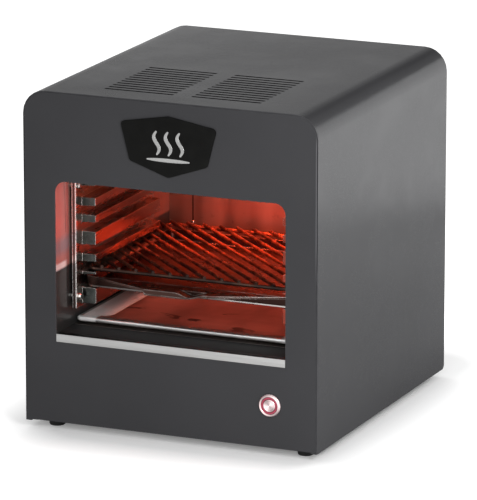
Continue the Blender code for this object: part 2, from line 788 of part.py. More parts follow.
# Cavity
def make_sill():
    """Bright strip, and the shelf whose front is stepped down under it."""
    strip = [
        (FRONT, OPENING_BOTTOM + GAP),
        (FRONT + STRIP_SHEET, OPENING_BOTTOM + GAP),
        (FRONT + STRIP_SHEET, STRIP_TOP - STRIP_SHEET),
        (FRONT + STRIP_LEG, STRIP_TOP - STRIP_SHEET),
        (FRONT + STRIP_LEG, STRIP_TOP),
        (FRONT, STRIP_TOP),
    ]
    reach = CAVITY_SIDE - GAP
    mesh_object("sill_strip", prism(strip, -reach, reach, "X"), "brushed_steel")
    seat = STRIP_TOP - STRIP_SHEET - GAP
    step = FRONT + STRIP_LEG + GAP
    rear = FRONT + SILL_DEPTH
    plate = [
        (PANEL_BACK, CAVITY_FLOOR - SILL_FLANGE),
        (PANEL_BACK + SILL_SHEET, CAVITY_FLOOR - SILL_FLANGE),
        (PANEL_BACK + SILL_SHEET, seat - SILL_SHEET),
        (step + SILL_SHEET, seat - SILL_SHEET),
        (step + SILL_SHEET, CAVITY_FLOOR - SILL_SHEET),
        (rear - SILL_SHEET, CAVITY_FLOOR - SILL_SHEET),
        (rear - SILL_SHEET, CAVITY_FLOOR - SILL_FLANGE),
        (rear, CAVITY_FLOOR - SILL_FLANGE),
        (rear, CAVITY_FLOOR),
        (step, CAVITY_FLOOR),
        (step, seat),
        (PANEL_BACK, seat),
    ]
    mesh_object("sill_plate", prism(plate, -reach, reach, "X"), "sill_paint")


def make_liner_walls():
    flange_reach = LINER_SIDE + LINER_FLANGE
    for side, name in ((-1, "left"), (1, "right")):
        wall = [
            (side * CAVITY_SIDE, PANEL_BACK),
            (side * flange_reach, PANEL_BACK),
            (side * flange_reach, PANEL_BACK + LINER_SHEET),
            (side * LINER_SIDE, PANEL_BACK + LINER_SHEET),
            (side * LINER_SIDE, CAVITY_REAR - GAP),
            (side * CAVITY_SIDE, CAVITY_REAR - GAP),
        ]
        mesh_object(f"liner_{name}", prism(wall, LINER_BOTTOM, LINER_TOP, "Z"), "polished_steel")
    back = rectangle(-LINER_SIDE, LINER_BOTTOM, LINER_SIDE, LINER_TOP)
    mesh_object("liner_back", prism(back, CAVITY_REAR, CAVITY_REAR + LINER_SHEET, "Y"), "polished_steel")


def make_liner_floor():
    reach = CAVITY_SIDE - GAP
    under = CAVITY_FLOOR - LINER_SHEET
    floor = [
        (-reach, LINER_BOTTOM),
        (-reach + LINER_SHEET, LINER_BOTTOM),
        (-reach + LINER_SHEET, under),
        (reach - LINER_SHEET, under),
        (reach - LINER_SHEET, LINER_BOTTOM),
        (reach, LINER_BOTTOM),
        (reach, CAVITY_FLOOR),
        (-reach, CAVITY_FLOOR),
    ]
    front = FRONT + SILL_DEPTH + GAP
    mesh_object("liner_floor", prism(floor, front, CAVITY_REAR - GAP, "Y"), "polished_steel")


# Heater
def reflector_ring(inset, z):
    low = PANEL_BACK + inset
    high = REFLECTOR_REAR - inset
    reach = LINER_SIDE - inset
    return [(u, v, z) for u, v in rectangle(-reach, low, reach, high)]


def element_ends():
    reach = ELEMENT_PITCH * (ELEMENT_LEGS - 1) / 2
    return (-reach, reach)


def make_heater_reflector():
    under = REFLECTOR_TOP - LINER_SHEET
    rings = [
        reflector_ring(LINER_SHEET, under),
        reflector_ring(LINER_SHEET, REFLECTOR_BOTTOM),
        reflector_ring(0, REFLECTOR_BOTTOM),
        reflector_ring(0, REFLECTOR_TOP),
    ]
    reflector = mesh_object("heater_reflector", loft(rings), "aluminised_steel")
    holes = bmesh.new()
    for x in element_ends():
        near = (x, CAVITY_REAR - OVERRUN, ELEMENT_LEVEL)
        far = (x, REFLECTOR_REAR + OVERRUN, ELEMENT_LEVEL)
        add_rod(holes, near, far, BUSHING_NECK + GAP, ROUND_SIDES)
    cut(reflector, holes, "element_holes")


def element_route():
    """Legs along Y joined by half turns, with both tails going out through the rear."""
    front = FRONT + ELEMENT_SETBACK + ELEMENT_TURN
    rear = CAVITY_REAR - ELEMENT_BACK_SPACE
    first = element_ends()[0]
    points = [(first, REFLECTOR_REAR + ELEMENT_TAIL)]
    for turn in range(ELEMENT_LEGS - 1):
        centre_x = first + ELEMENT_PITCH * (turn + 0.5)
        if turn % 2 == 0:
            points += arc((centre_x, front), ELEMENT_TURN, 180, 360)
        else:
            points += arc((centre_x, rear), ELEMENT_TURN, 180, 0)
    points.append((-first, REFLECTOR_REAR + ELEMENT_TAIL))
    return [(x, y, ELEMENT_LEVEL) for x, y in points]


def make_heating_element():
    curve = bpy.data.curves.new("heating_element", "CURVE")
    curve.dimensions = "3D"
    curve.bevel_depth = ELEMENT_RADIUS
    curve.bevel_resolution = 2
    curve.use_fill_caps = True
    route = element_route()
    spline = curve.splines.new("POLY")
    spline.points.add(len(route) - 1)
    for point, place in zip(spline.points, route):
        point.co = (*place, 1)
    curve.materials.append(material("element_sheath"))
    bpy.context.collection.objects.link(bpy.data.objects.new("heating_element", curve))


def make_heater_brackets():
    """Combs under the reflector whose notches carry the element's legs."""
    notch = ELEMENT_RADIUS + GAP
    top = REFLECTOR_TOP - LINER_SHEET - GAP
    bottom = ELEMENT_LEVEL - notch - BRACKET_SEAT
    reach = CAVITY_SIDE - GAP
    outline = [(-reach, bottom), (reach, bottom), (reach, top)]
    for leg in range(ELEMENT_LEGS):
        x = element_ends()[1] - leg * ELEMENT_PITCH
        outline += [(x + notch, top)] + arc((x, ELEMENT_LEVEL), notch, 0, -180) + [(x - notch, top)]
    outline.append((-reach, top))
    middle = (FRONT + CAVITY_REAR) / 2
    for index, y in enumerate((middle - BRACKET_SPACING / 2, middle + BRACKET_SPACING / 2), 1):
        bm = prism(outline, y - BRACKET_SHEET / 2, y + BRACKET_SHEET / 2, "Y")
        mesh_object(f"heater_bracket_{index}", bm, "aluminised_steel")


def make_element_bushings():
    bore = ELEMENT_RADIUS + GAP
    wall = GAP + LINER_SHEET + GAP
    profile = [
        (bore, -wall - BUSHING_NOSE),
        (BUSHING_NECK, -wall - BUSHING_NOSE),
        (BUSHING_NECK, GAP),
        (BUSHING_COLLAR, GAP),
        (BUSHING_COLLAR, BUSHING_COLLAR_LENGTH),
        (bore, BUSHING_COLLAR_LENGTH),
    ]
    for name, x in zip(("left", "right"), element_ends()):
        location = (x, REFLECTOR_REAR, ELEMENT_LEVEL)
        turned_object(f"element_bushing_{name}", profile, "ceramic", location, (0, 1, 0), PLAIN_ROUND_SIDES)


def make_insulation():
    slab = rectangle(-LINER_SIDE, PANEL_BACK, LINER_SIDE, REFLECTOR_REAR)
    top = prism(slab, INSULATION_BOTTOM, INSULATION_BOTTOM + INSULATION_TOP, "Z")
    mesh_object("insulation_top", top, "mineral_wool")
    near = LINER_SIDE + GAP
    far = near + INSULATION_SIDE
    front = FRONT + SHIELD_SETBACK
    for side, name in ((-1, "left"), (1, "right")):
        pad = rectangle(side * near, front, side * far, CAVITY_REAR)
        mesh_object(f"insulation_{name}", prism(pad, LINER_BOTTOM, REFLECTOR_TOP, "Z"), "mineral_wool")


def make_heat_shield():
    """Inverted U over the insulation that stands on the base plate."""
    outer = SHIELD_SIDE + SHIELD_SHEET
    top = SHIELD_TOP + SHIELD_SHEET
    foot = BASE_TOP + GAP
    profile = [
        (-outer, foot),
        (-outer, top),
        (outer, top),
        (outer, foot),
        (outer - SHIELD_FOOT, foot),
        (outer - SHIELD_FOOT, foot + SHIELD_SHEET),
        (SHIELD_SIDE, foot + SHIELD_SHEET),
        (SHIELD_SIDE, SHIELD_TOP),
        (-SHIELD_SIDE, SHIELD_TOP),
        (-SHIELD_SIDE, foot + SHIELD_SHEET),
        (SHIELD_FOOT - outer, foot + SHIELD_SHEET),
        (SHIELD_FOOT - outer, foot),
    ]
    front = FRONT + SHIELD_SETBACK
    mesh_object("heat_shield", prism(profile, front, CAVITY_REAR, "Y"), "aluminised_steel")


# Side racks
def rib_levels():
    """Lower and upper edge of each rib, from the cavity floor up."""
    grooves = [PAN_GROOVE, GRATE_GROOVE] + [share * RACK_HEIGHT for share in UPPER_GROOVE_SHARES]
    level = CAVITY_FLOOR + RACK_START
    levels = []
    for share, groove in zip(RIB_SHARES, grooves + [0]):
        top = level + share * RACK_HEIGHT
        levels.append((level, top))
        level = top + groove
    return levels


def rack_lines():
    """Grid lines of the pressed sheet along Y and Z, each with whether the rib's face reaches it."""
    along = [
        (FRONT + RACK_FRONT, False),
        (FRONT + RIB_FRONT, False),
        (FRONT + RIB_FRONT + RIB_DRAFT, True),
        (RIB_BACK - RIB_DRAFT, True),
        (RIB_BACK, False),
        (RACK_BACK, False),
    ]
    levels = rib_levels()
    up = [(levels[0][0] - RACK_MARGIN, False)]
    for low, high in levels:
        up += [(low, False), (low + RIB_DRAFT, True), (high - RIB_DRAFT, True), (high, False)]
    up.append((levels[-1][1] + RACK_MARGIN, False))
    return along, up


def rack_sheet(side):
    """Open sheet of a side rack, with its border turned back towards the wall."""
    along, up = rack_lines()
    bm = bmesh.new()
    grid = []
    for z, rib_z in up:
        row = []
        for y, rib_y in along:
            depth = RIB_DEPTH if rib_y and rib_z else 0
            row.append(bm.verts.new((side * (RACK_FACE - depth), y, z)))
        grid.append(row)
    for lower, upper in zip(grid, grid[1:]):
        for index in range(len(along) - 1):
            bm.faces.new((lower[index], lower[index + 1], upper[index + 1], upper[index]))
    if side > 0:
        bmesh.ops.reverse_faces(bm, faces=bm.faces)
    border = [edge for edge in bm.edges if edge.is_boundary]
    result = bmesh.ops.extrude_edge_only(bm, edges=border)
    moved = [item for item in result["geom"] if isinstance(item, bmesh.types.BMVert)]
    bmesh.ops.translate(bm, verts=moved, vec=(side * RACK_RETURN, 0, 0))
    return bm


def stud_places():
    """Front and rear margin of a rack, low and high."""
    levels = rib_levels()
    for y in (FRONT + (RACK_FRONT + RIB_FRONT) / 2, (RIB_BACK + RACK_BACK) / 2):
        for z in (levels[0][0] + STUD_LOW, levels[-1][1] - STUD_HIGH):
            yield y, z


def make_racks():
    for side, name in ((-1, "left"), (1, "right")):
        rack = sheet_object(f"rack_{name}", rack_sheet(side), "polished_steel", RACK_SHEET)
        holes = bmesh.new()
        for y, z in stud_places():
            near = (side * (RACK_FACE - OVERRUN), y, z)
            add_rod(holes, near, (side * (RACK_FACE + OVERRUN), y, z), STUD_NECK + GAP, SMALL_ROUND_SIDES)
        cut(rack, holes, "stud_holes")


def sheet_object(name, bm, material_name, thickness):
    """Sheet piece from an open surface whose normals point to its outer face."""
    mesh = bpy.data.meshes.new(name)
    bm.to_mesh(mesh)
    bm.free()
    mesh.materials.append(material(material_name))
    piece = bpy.data.objects.new(name, mesh)
    bpy.context.collection.objects.link(piece)
    solidify = piece.modifiers.new("sheet", "SOLIDIFY")
    solidify.thickness = thickness
    solidify.offset = -1
    solidify.use_even_offset = True
    solidify.use_rim = True
    return piece


def make_rack_studs():
    """Shouldered studs: a spacer on the wall, a neck through the rack and a round nut."""
    back = RACK_STANDOFF - RACK_SHEET - GAP
    face = RACK_STANDOFF + GAP
    end = face + STUD_NUT_LENGTH
    profile = [
        (0, GAP),
        (STUD_SPACER, GAP),
        (STUD_SPACER, back),
        (STUD_NECK, back),
        (STUD_NECK, face),
        (STUD_NUT, face),
        (STUD_NUT, end - STUD_NUT_CHAMFER),
        (STUD_NUT - STUD_NUT_CHAMFER, end),
        (0, end),
    ]
    for side, name in ((-1, "left"), (1, "right")):
        for index, (y, z) in enumerate(stud_places(), 1):
            location = (side * CAVITY_SIDE, y, z)
            turned_object(
                f"rack_stud_{name}_{index}", profile, "polished_steel", location, (-side, 0, 0), SMALL_ROUND_SIDES
            )


# Pieces that slide out
def grate_level():
    """Centre of the frame wire, which lies on the second rib."""
    return rib_levels()[1][1] + GAP + GRATE_FRAME


def make_grill_grate():
    half_x = RACK_FACE - GRATE_SIDE_CLEARANCE - GRATE_FRAME
    front = FRONT + GRATE_FRONT + GRATE_FRAME
    rear = CAVITY_REAR - GRATE_REAR_SPACE - GRATE_FRAME
    level = grate_level()
    centre = (0, (front + rear) / 2)
    path = rounded_rectangle(centre, half_x, (rear - front) / 2, GRATE_CORNER)
    frame = wire_loop([(x, y, level) for x, y in path], GRATE_FRAME)
    grate = mesh_object("grill_grate", frame, "polished_steel", (0, centre[1], level))
    bars = bmesh.new()
    span = 2 * half_x + rear - front
    count = int(span // GRATE_BAR_PITCH)
    first = -half_x + front + (span - (count - 1) * GRATE_BAR_PITCH) / 2
    overhang = GRATE_BAR_OVERHANG
    bar_level = level + GRATE_BAR_LIFT
    for index in range(count):
        total = first + index * GRATE_BAR_PITCH
        left = max(-half_x, total - rear)
        right = min(half_x, total - front)
        start = (left - overhang, total - left + overhang, bar_level)
        end = (right + overhang, total - right - overhang, bar_level)
        add_rod(bars, start, end, GRATE_BAR)
    fuse(grate, bars, "bars")


def pan_level():
    """Underside of the juice pan, which lies on the lowest rib."""
    return rib_levels()[0][1] + GAP


def pan_ring(inset, z):
    half_x = PAN_HALF - inset
    front = FRONT + PAN_FRONT + inset
    rear = CAVITY_REAR - PAN_REAR_SPACE - inset
    outline = rounded_rectangle((0, (front + rear) / 2), half_x, (rear - front) / 2, PAN_CORNER - inset)
    return [(x, y, z) for x, y in outline]


def apron_path():
    """Left root, nose and right root of the apron, along its hemmed edge."""
    root = FRONT + PAN_FRONT + EMBED
    nose = FRONT + APRON_FRONT
    reach = PAN_HALF - APRON_ROOT_INSET
    return [
        (-reach, root),
        (-APRON_NOSE_WIDTH / 2, nose),
        (APRON_NOSE_WIDTH / 2, nose),
        (reach, root),
    ]


def apron_hem():
    """Outline of the hem along the apron's three free edges."""
    edge = apron_path()
    inner = offset_path(edge, APRON_HEM)
    run = (Vector(edge[1]) - Vector(edge[0])).normalized()
    reach = edge[3][0] - APRON_HEM / abs(run.y)
    return edge + [(reach, edge[3][1]), inner[2], inner[1], (-reach, edge[0][1])]


def lip_edge(top):
    """Lower edge of the lip from its left end: a rounded corner, a level run and a rise to the hem."""
    left = LIP_END_INSET - APRON_NOSE_WIDTH / 2
    low = top - LIP_DROP
    edge = arc((left + LIP_ROUND, low + LIP_ROUND), LIP_ROUND, 180, 270, ARC_STEPS // 2)
    rise = LIP_DROP - APRON_HEM + EMBED
    for step in range(LIP_RISE_STEPS + 1):
        share = step / LIP_RISE_STEPS
        x = LIP_RISE_START + (LIP_RISE_END - LIP_RISE_START) * share
        edge.append((x, low + rise * (1 - math.cos(math.pi * share)) / 2))
    return edge


def spout_curve(top):
    """Dip of the spout across the nose, from left to right."""
    points = []
    for step in range(SPOUT_STEPS + 1):
        turn = math.pi * (2 * step / SPOUT_STEPS - 1)
        x = SPOUT_X + SPOUT_WIDTH / 2 * turn / math.pi
        points.append((x, top - SPOUT_DEPTH * (1 + math.cos(turn)) / 2))
    return points


def add_lip(pan, top):
    front = FRONT + APRON_FRONT - LIP_PROUD
    edge = lip_edge(top)
    face = edge + [(edge[-1][0], top - EMBED), (edge[0][0], top - EMBED)]
    fuse(pan, prism(face, front, front + LIP_SHEET, "Y"), "lip")
    rim = edge + offset_path(edge, LIP_RIM)[::-1]
    fuse(pan, prism(rim, front - LIP_RIM_PROUD, front + EMBED, "Y"), "lip_rim")


def add_spout(pan, top):
    """Channel through the hem and the lip, then the pressed sheet under it and the wall at its rear."""
    front = FRONT + APRON_FRONT - LIP_PROUD
    rear = FRONT + APRON_FRONT + SPOUT_LENGTH
    curve = spout_curve(top - EMBED)
    middle = [(x, z - PAN_SHEET / 2) for x, z in curve]
    under = [(x, z - PAN_SHEET) for x, z in curve]
    channel = middle + [(middle[-1][0], top + OVERRUN), (middle[0][0], top + OVERRUN)]
    cut(pan, prism(channel, front - OVERRUN, rear, "Y"), "spout_channel")
    fuse(pan, prism(under + curve[::-1], front + EMBED, rear + PAN_SHEET / 2, "Y"), "spout_sheet")
    wall = under + [(under[-1][0], top - EMBED), (under[0][0], top - EMBED)]
    fuse(pan, prism(wall, rear, rear + PAN_SHEET, "Y"), "spout_wall")


def make_juice_pan():
    low = pan_level()
    top = low + PAN_HEIGHT
    rings = [
        pan_ring(PAN_SLOPE, low),
        pan_ring(0, top),
        pan_ring(PAN_SHEET, top),
        pan_ring(PAN_SLOPE + PAN_SHEET, low + PAN_SHEET),
    ]
    middle = (FRONT + PAN_FRONT + CAVITY_REAR - PAN_REAR_SPACE) / 2
    pan = mesh_object("juice_pan", loft(rings), "polished_steel", (0, middle, low))
    fuse(pan, prism(apron_path(), top - PAN_SHEET, top - EMBED / 2, "Z"), "apron")
    fuse(pan, prism(apron_hem(), top - APRON_HEM, top, "Z"), "hem")
    add_lip(pan, top)
    add_spout(pan, top)


def tray_loop(side_inset, end_inset, radius, z):
    half_x = CAVITY_SIDE - TRAY_SIDE_CLEARANCE - side_inset
    front = FRONT + TRAY_FRONT + end_inset
    rear = CAVITY_REAR - TRAY_REAR_SPACE - end_inset
    outline = rounded_rectangle((0, (front + rear) / 2), half_x, (rear - front) / 2, radius)
    return [(x, y, z) for x, y in outline]


def tray_roll(inset, z):
    """Loop of the rolled edge, an even distance inside the outermost one."""
    return tray_loop(inset, inset, TRAY_CORNER - inset, z)


def make_drip_tray():
    low = CAVITY_FLOOR + GAP
    top = low + TRAY_HEIGHT
    rim = (TRAY_SIDE_RIM, TRAY_RIM, TRAY_BASIN_CORNER)
    basin = (TRAY_SIDE_RIM + TRAY_SIDE_SLOPE, TRAY_RIM + TRAY_SLOPE, TRAY_BASIN_CORNER)
    rings = [
        tray_loop(*basin, low),
        tray_loop(*rim, top - TRAY_SHEET),
        tray_roll(TRAY_ROLL_WALL, top - TRAY_SHEET),
        tray_roll(TRAY_ROLL_WALL, top - TRAY_ROLL),
        tray_roll(TRAY_ROLL_ROUND, top - TRAY_ROLL),
        tray_roll(0, top - TRAY_ROLL + TRAY_ROLL_ROUND),
        tray_roll(0, top - TRAY_ROLL_ROUND),
        tray_roll(TRAY_ROLL_ROUND, top),
        tray_loop(*rim, top),
        tray_loop(*basin, low + TRAY_SHEET),
    ]
    middle = (FRONT + TRAY_FRONT + CAVITY_REAR - TRAY_REAR_SPACE) / 2
    mesh_object("drip_tray", loft(rings), "polished_steel", (0, middle, low))


# Badge
def make_badge_plate():
    top = TOP - BADGE_BAND * BADGE_TOP_SHARE
    shoulder = TOP - BADGE_BAND * BADGE_SHOULDER_SHARE
    waist = TOP - BADGE_BAND * BADGE_WAIST_SHARE
    tip = TOP - BADGE_BAND * BADGE_TIP_SHARE
    corners = [
        (0, top),
        (-BADGE_SHOULDER, shoulder),
        (-BADGE_WAIST, waist),
        (0, tip),
        (BADGE_WAIST, waist),
        (BADGE_SHOULDER, shoulder),
    ]
    outline = rounded_corners(corners, BADGE_ROUND, ARC_STEPS // 2)
    middle = (top + tip) / 2
    origin = (0, FRONT, middle)
    bm = prism(outline, FRONT - GAP - BADGE_SHEET, FRONT - GAP, "Y")
    badge = mesh_object("badge_plate", bm, "badge_black", origin)
    bevel = badge.modifiers.new("edge", "BEVEL")
    bevel.width = BADGE_EDGE
    bevel.segments = 2
    bevel.limit_method = "ANGLE"
    bevel.angle_limit = math.radians(60)


# Push button: profiles measure outwards from the front panel's face
def make_button_bezel():
    recess = RING_RADIUS + GAP
    shoulder = BEZEL_PROUD - RING_INSET - RING_DEPTH - GAP
    profile = [
        (CAP_BORE, -BARREL_LENGTH),
        (BUTTON_HOLE - GAP, -BARREL_LENGTH),
        (BUTTON_HOLE - GAP, GAP),
        (BEZEL_RADIUS, GAP),
        (BEZEL_RADIUS, BEZEL_EDGE),
        (BEZEL_RADIUS - BEZEL_EDGE / 2, BEZEL_CROWN),
        (BEZEL_RADIUS - BEZEL_CROWN, BEZEL_PROUD),
        (recess + BEZEL_EDGE / 2, BEZEL_PROUD),
        (recess, BEZEL_PROUD - BEZEL_EDGE / 2),
        (recess, shoulder),
        (CAP_BORE, shoulder),
    ]
    place_on_button("button_bezel", profile, "button_chrome")


def make_button_ring():
    top = BEZEL_PROUD - RING_INSET
    profile = [
        (CAP_BORE, top - RING_DEPTH),
        (RING_RADIUS, top - RING_DEPTH),
        (RING_RADIUS, top),
        (CAP_BORE, top),
    ]
    place_on_button("button_ring", profile, "ring_lens")


def make_button_cap():
    top = BEZEL_PROUD - RING_INSET
    profile = [
        (0, top - CAP_DISH),
        (CAP_DISH_RADIUS - CAP_DISH, top - CAP_DISH),
        (CAP_DISH_RADIUS, top),
        (CAP_RADIUS - CAP_EDGE, top),
        (CAP_RADIUS, top - CAP_EDGE),
        (CAP_RADIUS, top - CAP_LENGTH),
        (STEM_RADIUS, top - CAP_LENGTH),
        (STEM_RADIUS, top - CAP_LENGTH - STEM_LENGTH),
        (0, top - CAP_LENGTH - STEM_LENGTH),
    ]
    place_on_button("button_cap", profile, "button_chrome")


def make_switch_body():
    front = -BARREL_LENGTH - GAP
    rear = front - SWITCH_LENGTH
    profile = [
        (0, front - SWITCH_HOLE_DEPTH),
        (STEM_RADIUS + GAP, front - SWITCH_HOLE_DEPTH),
        (STEM_RADIUS + GAP, front),
        (SWITCH_RADIUS, front),
        (SWITCH_RADIUS, rear + SWITCH_STEP_LENGTH),
        (SWITCH_RADIUS - SWITCH_STEP, rear + SWITCH_STEP_LENGTH),
        (SWITCH_RADIUS - SWITCH_STEP, rear),
        (0, rear),
    ]
    place_on_button("switch_body", profile, "black_plastic", PLAIN_ROUND_SIDES)


def place_on_button(name, profile, material_name, sides=ROUND_SIDES):
    turned_object(name, profile, material_name, (BUTTON_X, FRONT, BUTTON_Z), (0, -1, 0), sides)


def hex_nut(name, centre, low, high, radius, bore, material_name):
    """Hexagonal nut with its axis along Y."""
    outline = arc(centre, radius, 0, 300, 5)
    nut = mesh_object(name, prism(outline, low, high, "Y"), material_name)
    near = (centre[0], low - OVERRUN, centre[1])
    cut(nut, rod(near, (centre[0], high + OVERRUN, centre[1]), bore, ROUND_SIDES), "bore")


def make_button_nut():
    low = FRONT + PANEL_SHEET + GAP
    centre = (BUTTON_X, BUTTON_Z)
    hex_nut("button_nut", centre, low, low + BUTTON_NUT_LENGTH, BUTTON_NUT_RADIUS, BUTTON_HOLE, "zinc_steel")


# Cable gland in the rear panel: its profile measures outwards from the panel's face
def make_cable_gland():
    profile = [
        (GLAND_BORE, -GLAND_LENGTH),
        (GLAND_NECK, -GLAND_LENGTH),
        (GLAND_NECK, GAP),
        (GLAND_FLANGE, GAP),
        (GLAND_FLANGE, GLAND_PROUD - GLAND_EDGE),
        (GLAND_FLANGE - GLAND_EDGE, GLAND_PROUD),
        (GLAND_BORE + GLAND_EDGE, GLAND_PROUD),
        (GLAND_BORE, GLAND_PROUD - GLAND_EDGE),
    ]
    location = (GLAND_X, REAR, GLAND_Z)
    turned_object("cable_gland", profile, "black_plastic", location, (0, 1, 0), PLAIN_ROUND_SIDES)
    high = REAR_PANEL_FRONT
    centre = (GLAND_X, GLAND_Z)
    hex_nut("gland_nut", centre, high - GLAND_NUT_LENGTH, high, GLAND_NUT_RADIUS, GLAND_NECK + GAP, "black_plastic")


# Electrical pieces inside
def block_centre():
    return GLAND_X, REAR - BLOCK_REAR_SPACE - BLOCK_DEPTH / 2


def make_terminal_block():
    x, y = block_centre()
    low = BASE_TOP + GAP
    high = low + BLOCK_HEIGHT
    half = BLOCK_DEPTH / 2
    profile = [
        (y - half, low),
        (y + half, low),
        (y + half, high - BLOCK_STEP),
        (y + half - BLOCK_STEP, high - BLOCK_STEP),
        (y + half - BLOCK_STEP, high),
        (y - half + BLOCK_STEP, high),
        (y - half + BLOCK_STEP, high - BLOCK_STEP),
        (y - half, high - BLOCK_STEP),
    ]
    bm = prism(profile, x - BLOCK_LENGTH / 2, x + BLOCK_LENGTH / 2, "X")
    block = mesh_object("terminal_block", bm, "white_plastic", (x, y, low))
    wells = bmesh.new()
    for way in range(BLOCK_WAYS):
        way_x = x + (way - (BLOCK_WAYS - 1) / 2) * BLOCK_WAY_PITCH
        start = (way_x, y, high - BLOCK_WAY_DEPTH)
        add_rod(wells, start, (way_x, y, high + OVERRUN), BLOCK_WAY_RADIUS, SMALL_ROUND_SIDES)
    cut(block, wells, "wells")


def make_thermal_cutout():
    profile = [
        (0, GAP),
        (CUTOUT_FLANGE, GAP),
        (CUTOUT_FLANGE, GAP + CUTOUT_FLANGE_LENGTH),
        (CUTOUT_RADIUS, GAP + CUTOUT_FLANGE_LENGTH),
        (CUTOUT_RADIUS, CUTOUT_LENGTH - CUTOUT_EDGE),
        (CUTOUT_RADIUS - CUTOUT_EDGE, CUTOUT_LENGTH),
        (0, CUTOUT_LENGTH),
    ]
    location = (CUTOUT_X, CAVITY_REAR + LINER_SHEET, LINER_TOP - CUTOUT_DROP)
    turned_object("thermal_cutout", profile, "ceramic", location, (0, 1, 0), PLAIN_ROUND_SIDES)


def make_leads():
    block_x, block_y = block_centre()
    block_top = BASE_TOP + GAP + BLOCK_HEIGHT
    switch_rear = FRONT + BARREL_LENGTH + GAP + SWITCH_LENGTH + GAP
    level = BASE_TOP + LEAD_LEVEL
    front = block_y - BLOCK_DEPTH / 2 - LEAD_GAP
    to_block = [
        (BUTTON_X, switch_rear, BUTTON_Z),
        (BUTTON_X, switch_rear + 2 * LEAD_BEND, BUTTON_Z),
        (BUTTON_X, switch_rear + 3 * LEAD_BEND, level),
        (BUTTON_X, front, level),
    ]
    lead_object("lead_switch", to_block, "lead_sleeve")
    tail = REFLECTOR_REAR + ELEMENT_TAIL + LEAD_GAP
    run = tail + LEAD_BEND
    low = block_top + 2 * LEAD_BEND
    for side, name, end_x in ((-1, "left", element_ends()[0]), (1, "right", element_ends()[1])):
        way_x = block_x + side * BLOCK_WAY_PITCH
        route = [
            (end_x, tail, ELEMENT_LEVEL),
            (end_x, run, ELEMENT_LEVEL),
            (end_x, run, (ELEMENT_LEVEL + low) / 2),
            (way_x, run, low),
            (way_x, block_y, low),
            (way_x, block_y, block_top - BLOCK_WAY_DEPTH + GAP),
        ]
        lead_object(f"lead_element_{name}", route, "lead_sleeve")


def even_shading():
    """Weighted normals on the pieces that were cut or joined, whose shapes stay as they are."""
    for piece in bpy.data.objects:
        if any(modifier.type == "BOOLEAN" for modifier in piece.modifiers):
            shading = piece.modifiers.new("shading", "WEIGHTED_NORMAL")
            shading.keep_sharp = True


def main():
    for old in list(bpy.data.objects):
        bpy.data.objects.remove(old, do_unlink=True)
    make_outer_housing()
    make_front_panel()
    make_rear_panel()
    make_rear_screws()
    make_base_plate()
    make_feet()
    make_sill()
    make_liner_walls()
    make_liner_floor()
    make_heater_reflector()
    make_heating_element()
    make_heater_brackets()
    make_element_bushings()
    make_insulation()
    make_heat_shield()
    make_racks()
    make_rack_studs()
    make_grill_grate()
    make_juice_pan()
    make_drip_tray()
    make_badge_plate()
    make_button_bezel()
    make_button_ring()
    make_button_cap()
    make_button_nut()
    make_switch_body()
    make_cable_gland()
    make_terminal_block()
    make_thermal_cutout()
    make_leads()
    even_shading()


main()
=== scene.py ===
"""Looks of the electric grill: finishes, small form details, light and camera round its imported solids.

Metres, +Z up, front towards -Y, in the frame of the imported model.
"""

import json
import math

import bmesh
import bpy
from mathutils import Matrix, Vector


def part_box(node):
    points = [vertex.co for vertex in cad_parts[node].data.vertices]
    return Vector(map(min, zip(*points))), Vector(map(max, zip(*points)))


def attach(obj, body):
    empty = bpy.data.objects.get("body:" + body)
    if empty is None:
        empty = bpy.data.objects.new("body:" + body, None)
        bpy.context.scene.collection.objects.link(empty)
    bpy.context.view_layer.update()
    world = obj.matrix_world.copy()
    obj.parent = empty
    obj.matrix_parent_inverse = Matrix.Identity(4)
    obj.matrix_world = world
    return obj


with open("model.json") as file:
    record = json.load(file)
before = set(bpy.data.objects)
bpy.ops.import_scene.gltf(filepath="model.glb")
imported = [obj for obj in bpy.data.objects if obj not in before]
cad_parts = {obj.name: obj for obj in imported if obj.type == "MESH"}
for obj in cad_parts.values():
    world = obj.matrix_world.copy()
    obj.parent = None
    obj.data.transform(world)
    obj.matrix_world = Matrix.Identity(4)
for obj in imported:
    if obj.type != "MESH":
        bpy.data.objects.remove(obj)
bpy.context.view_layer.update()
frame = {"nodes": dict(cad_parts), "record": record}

scene = bpy.context.scene
nodes = frame["nodes"]

X, Y, Z = 0, 1, 2
WHITE = (1.0, 1.0, 1.0)


# Material helpers
BEVEL_SAMPLES = 6
EDGE_COSINES = (0.75, 0.98)    # between a face's own normal and the bevelled one: at an edge, off it


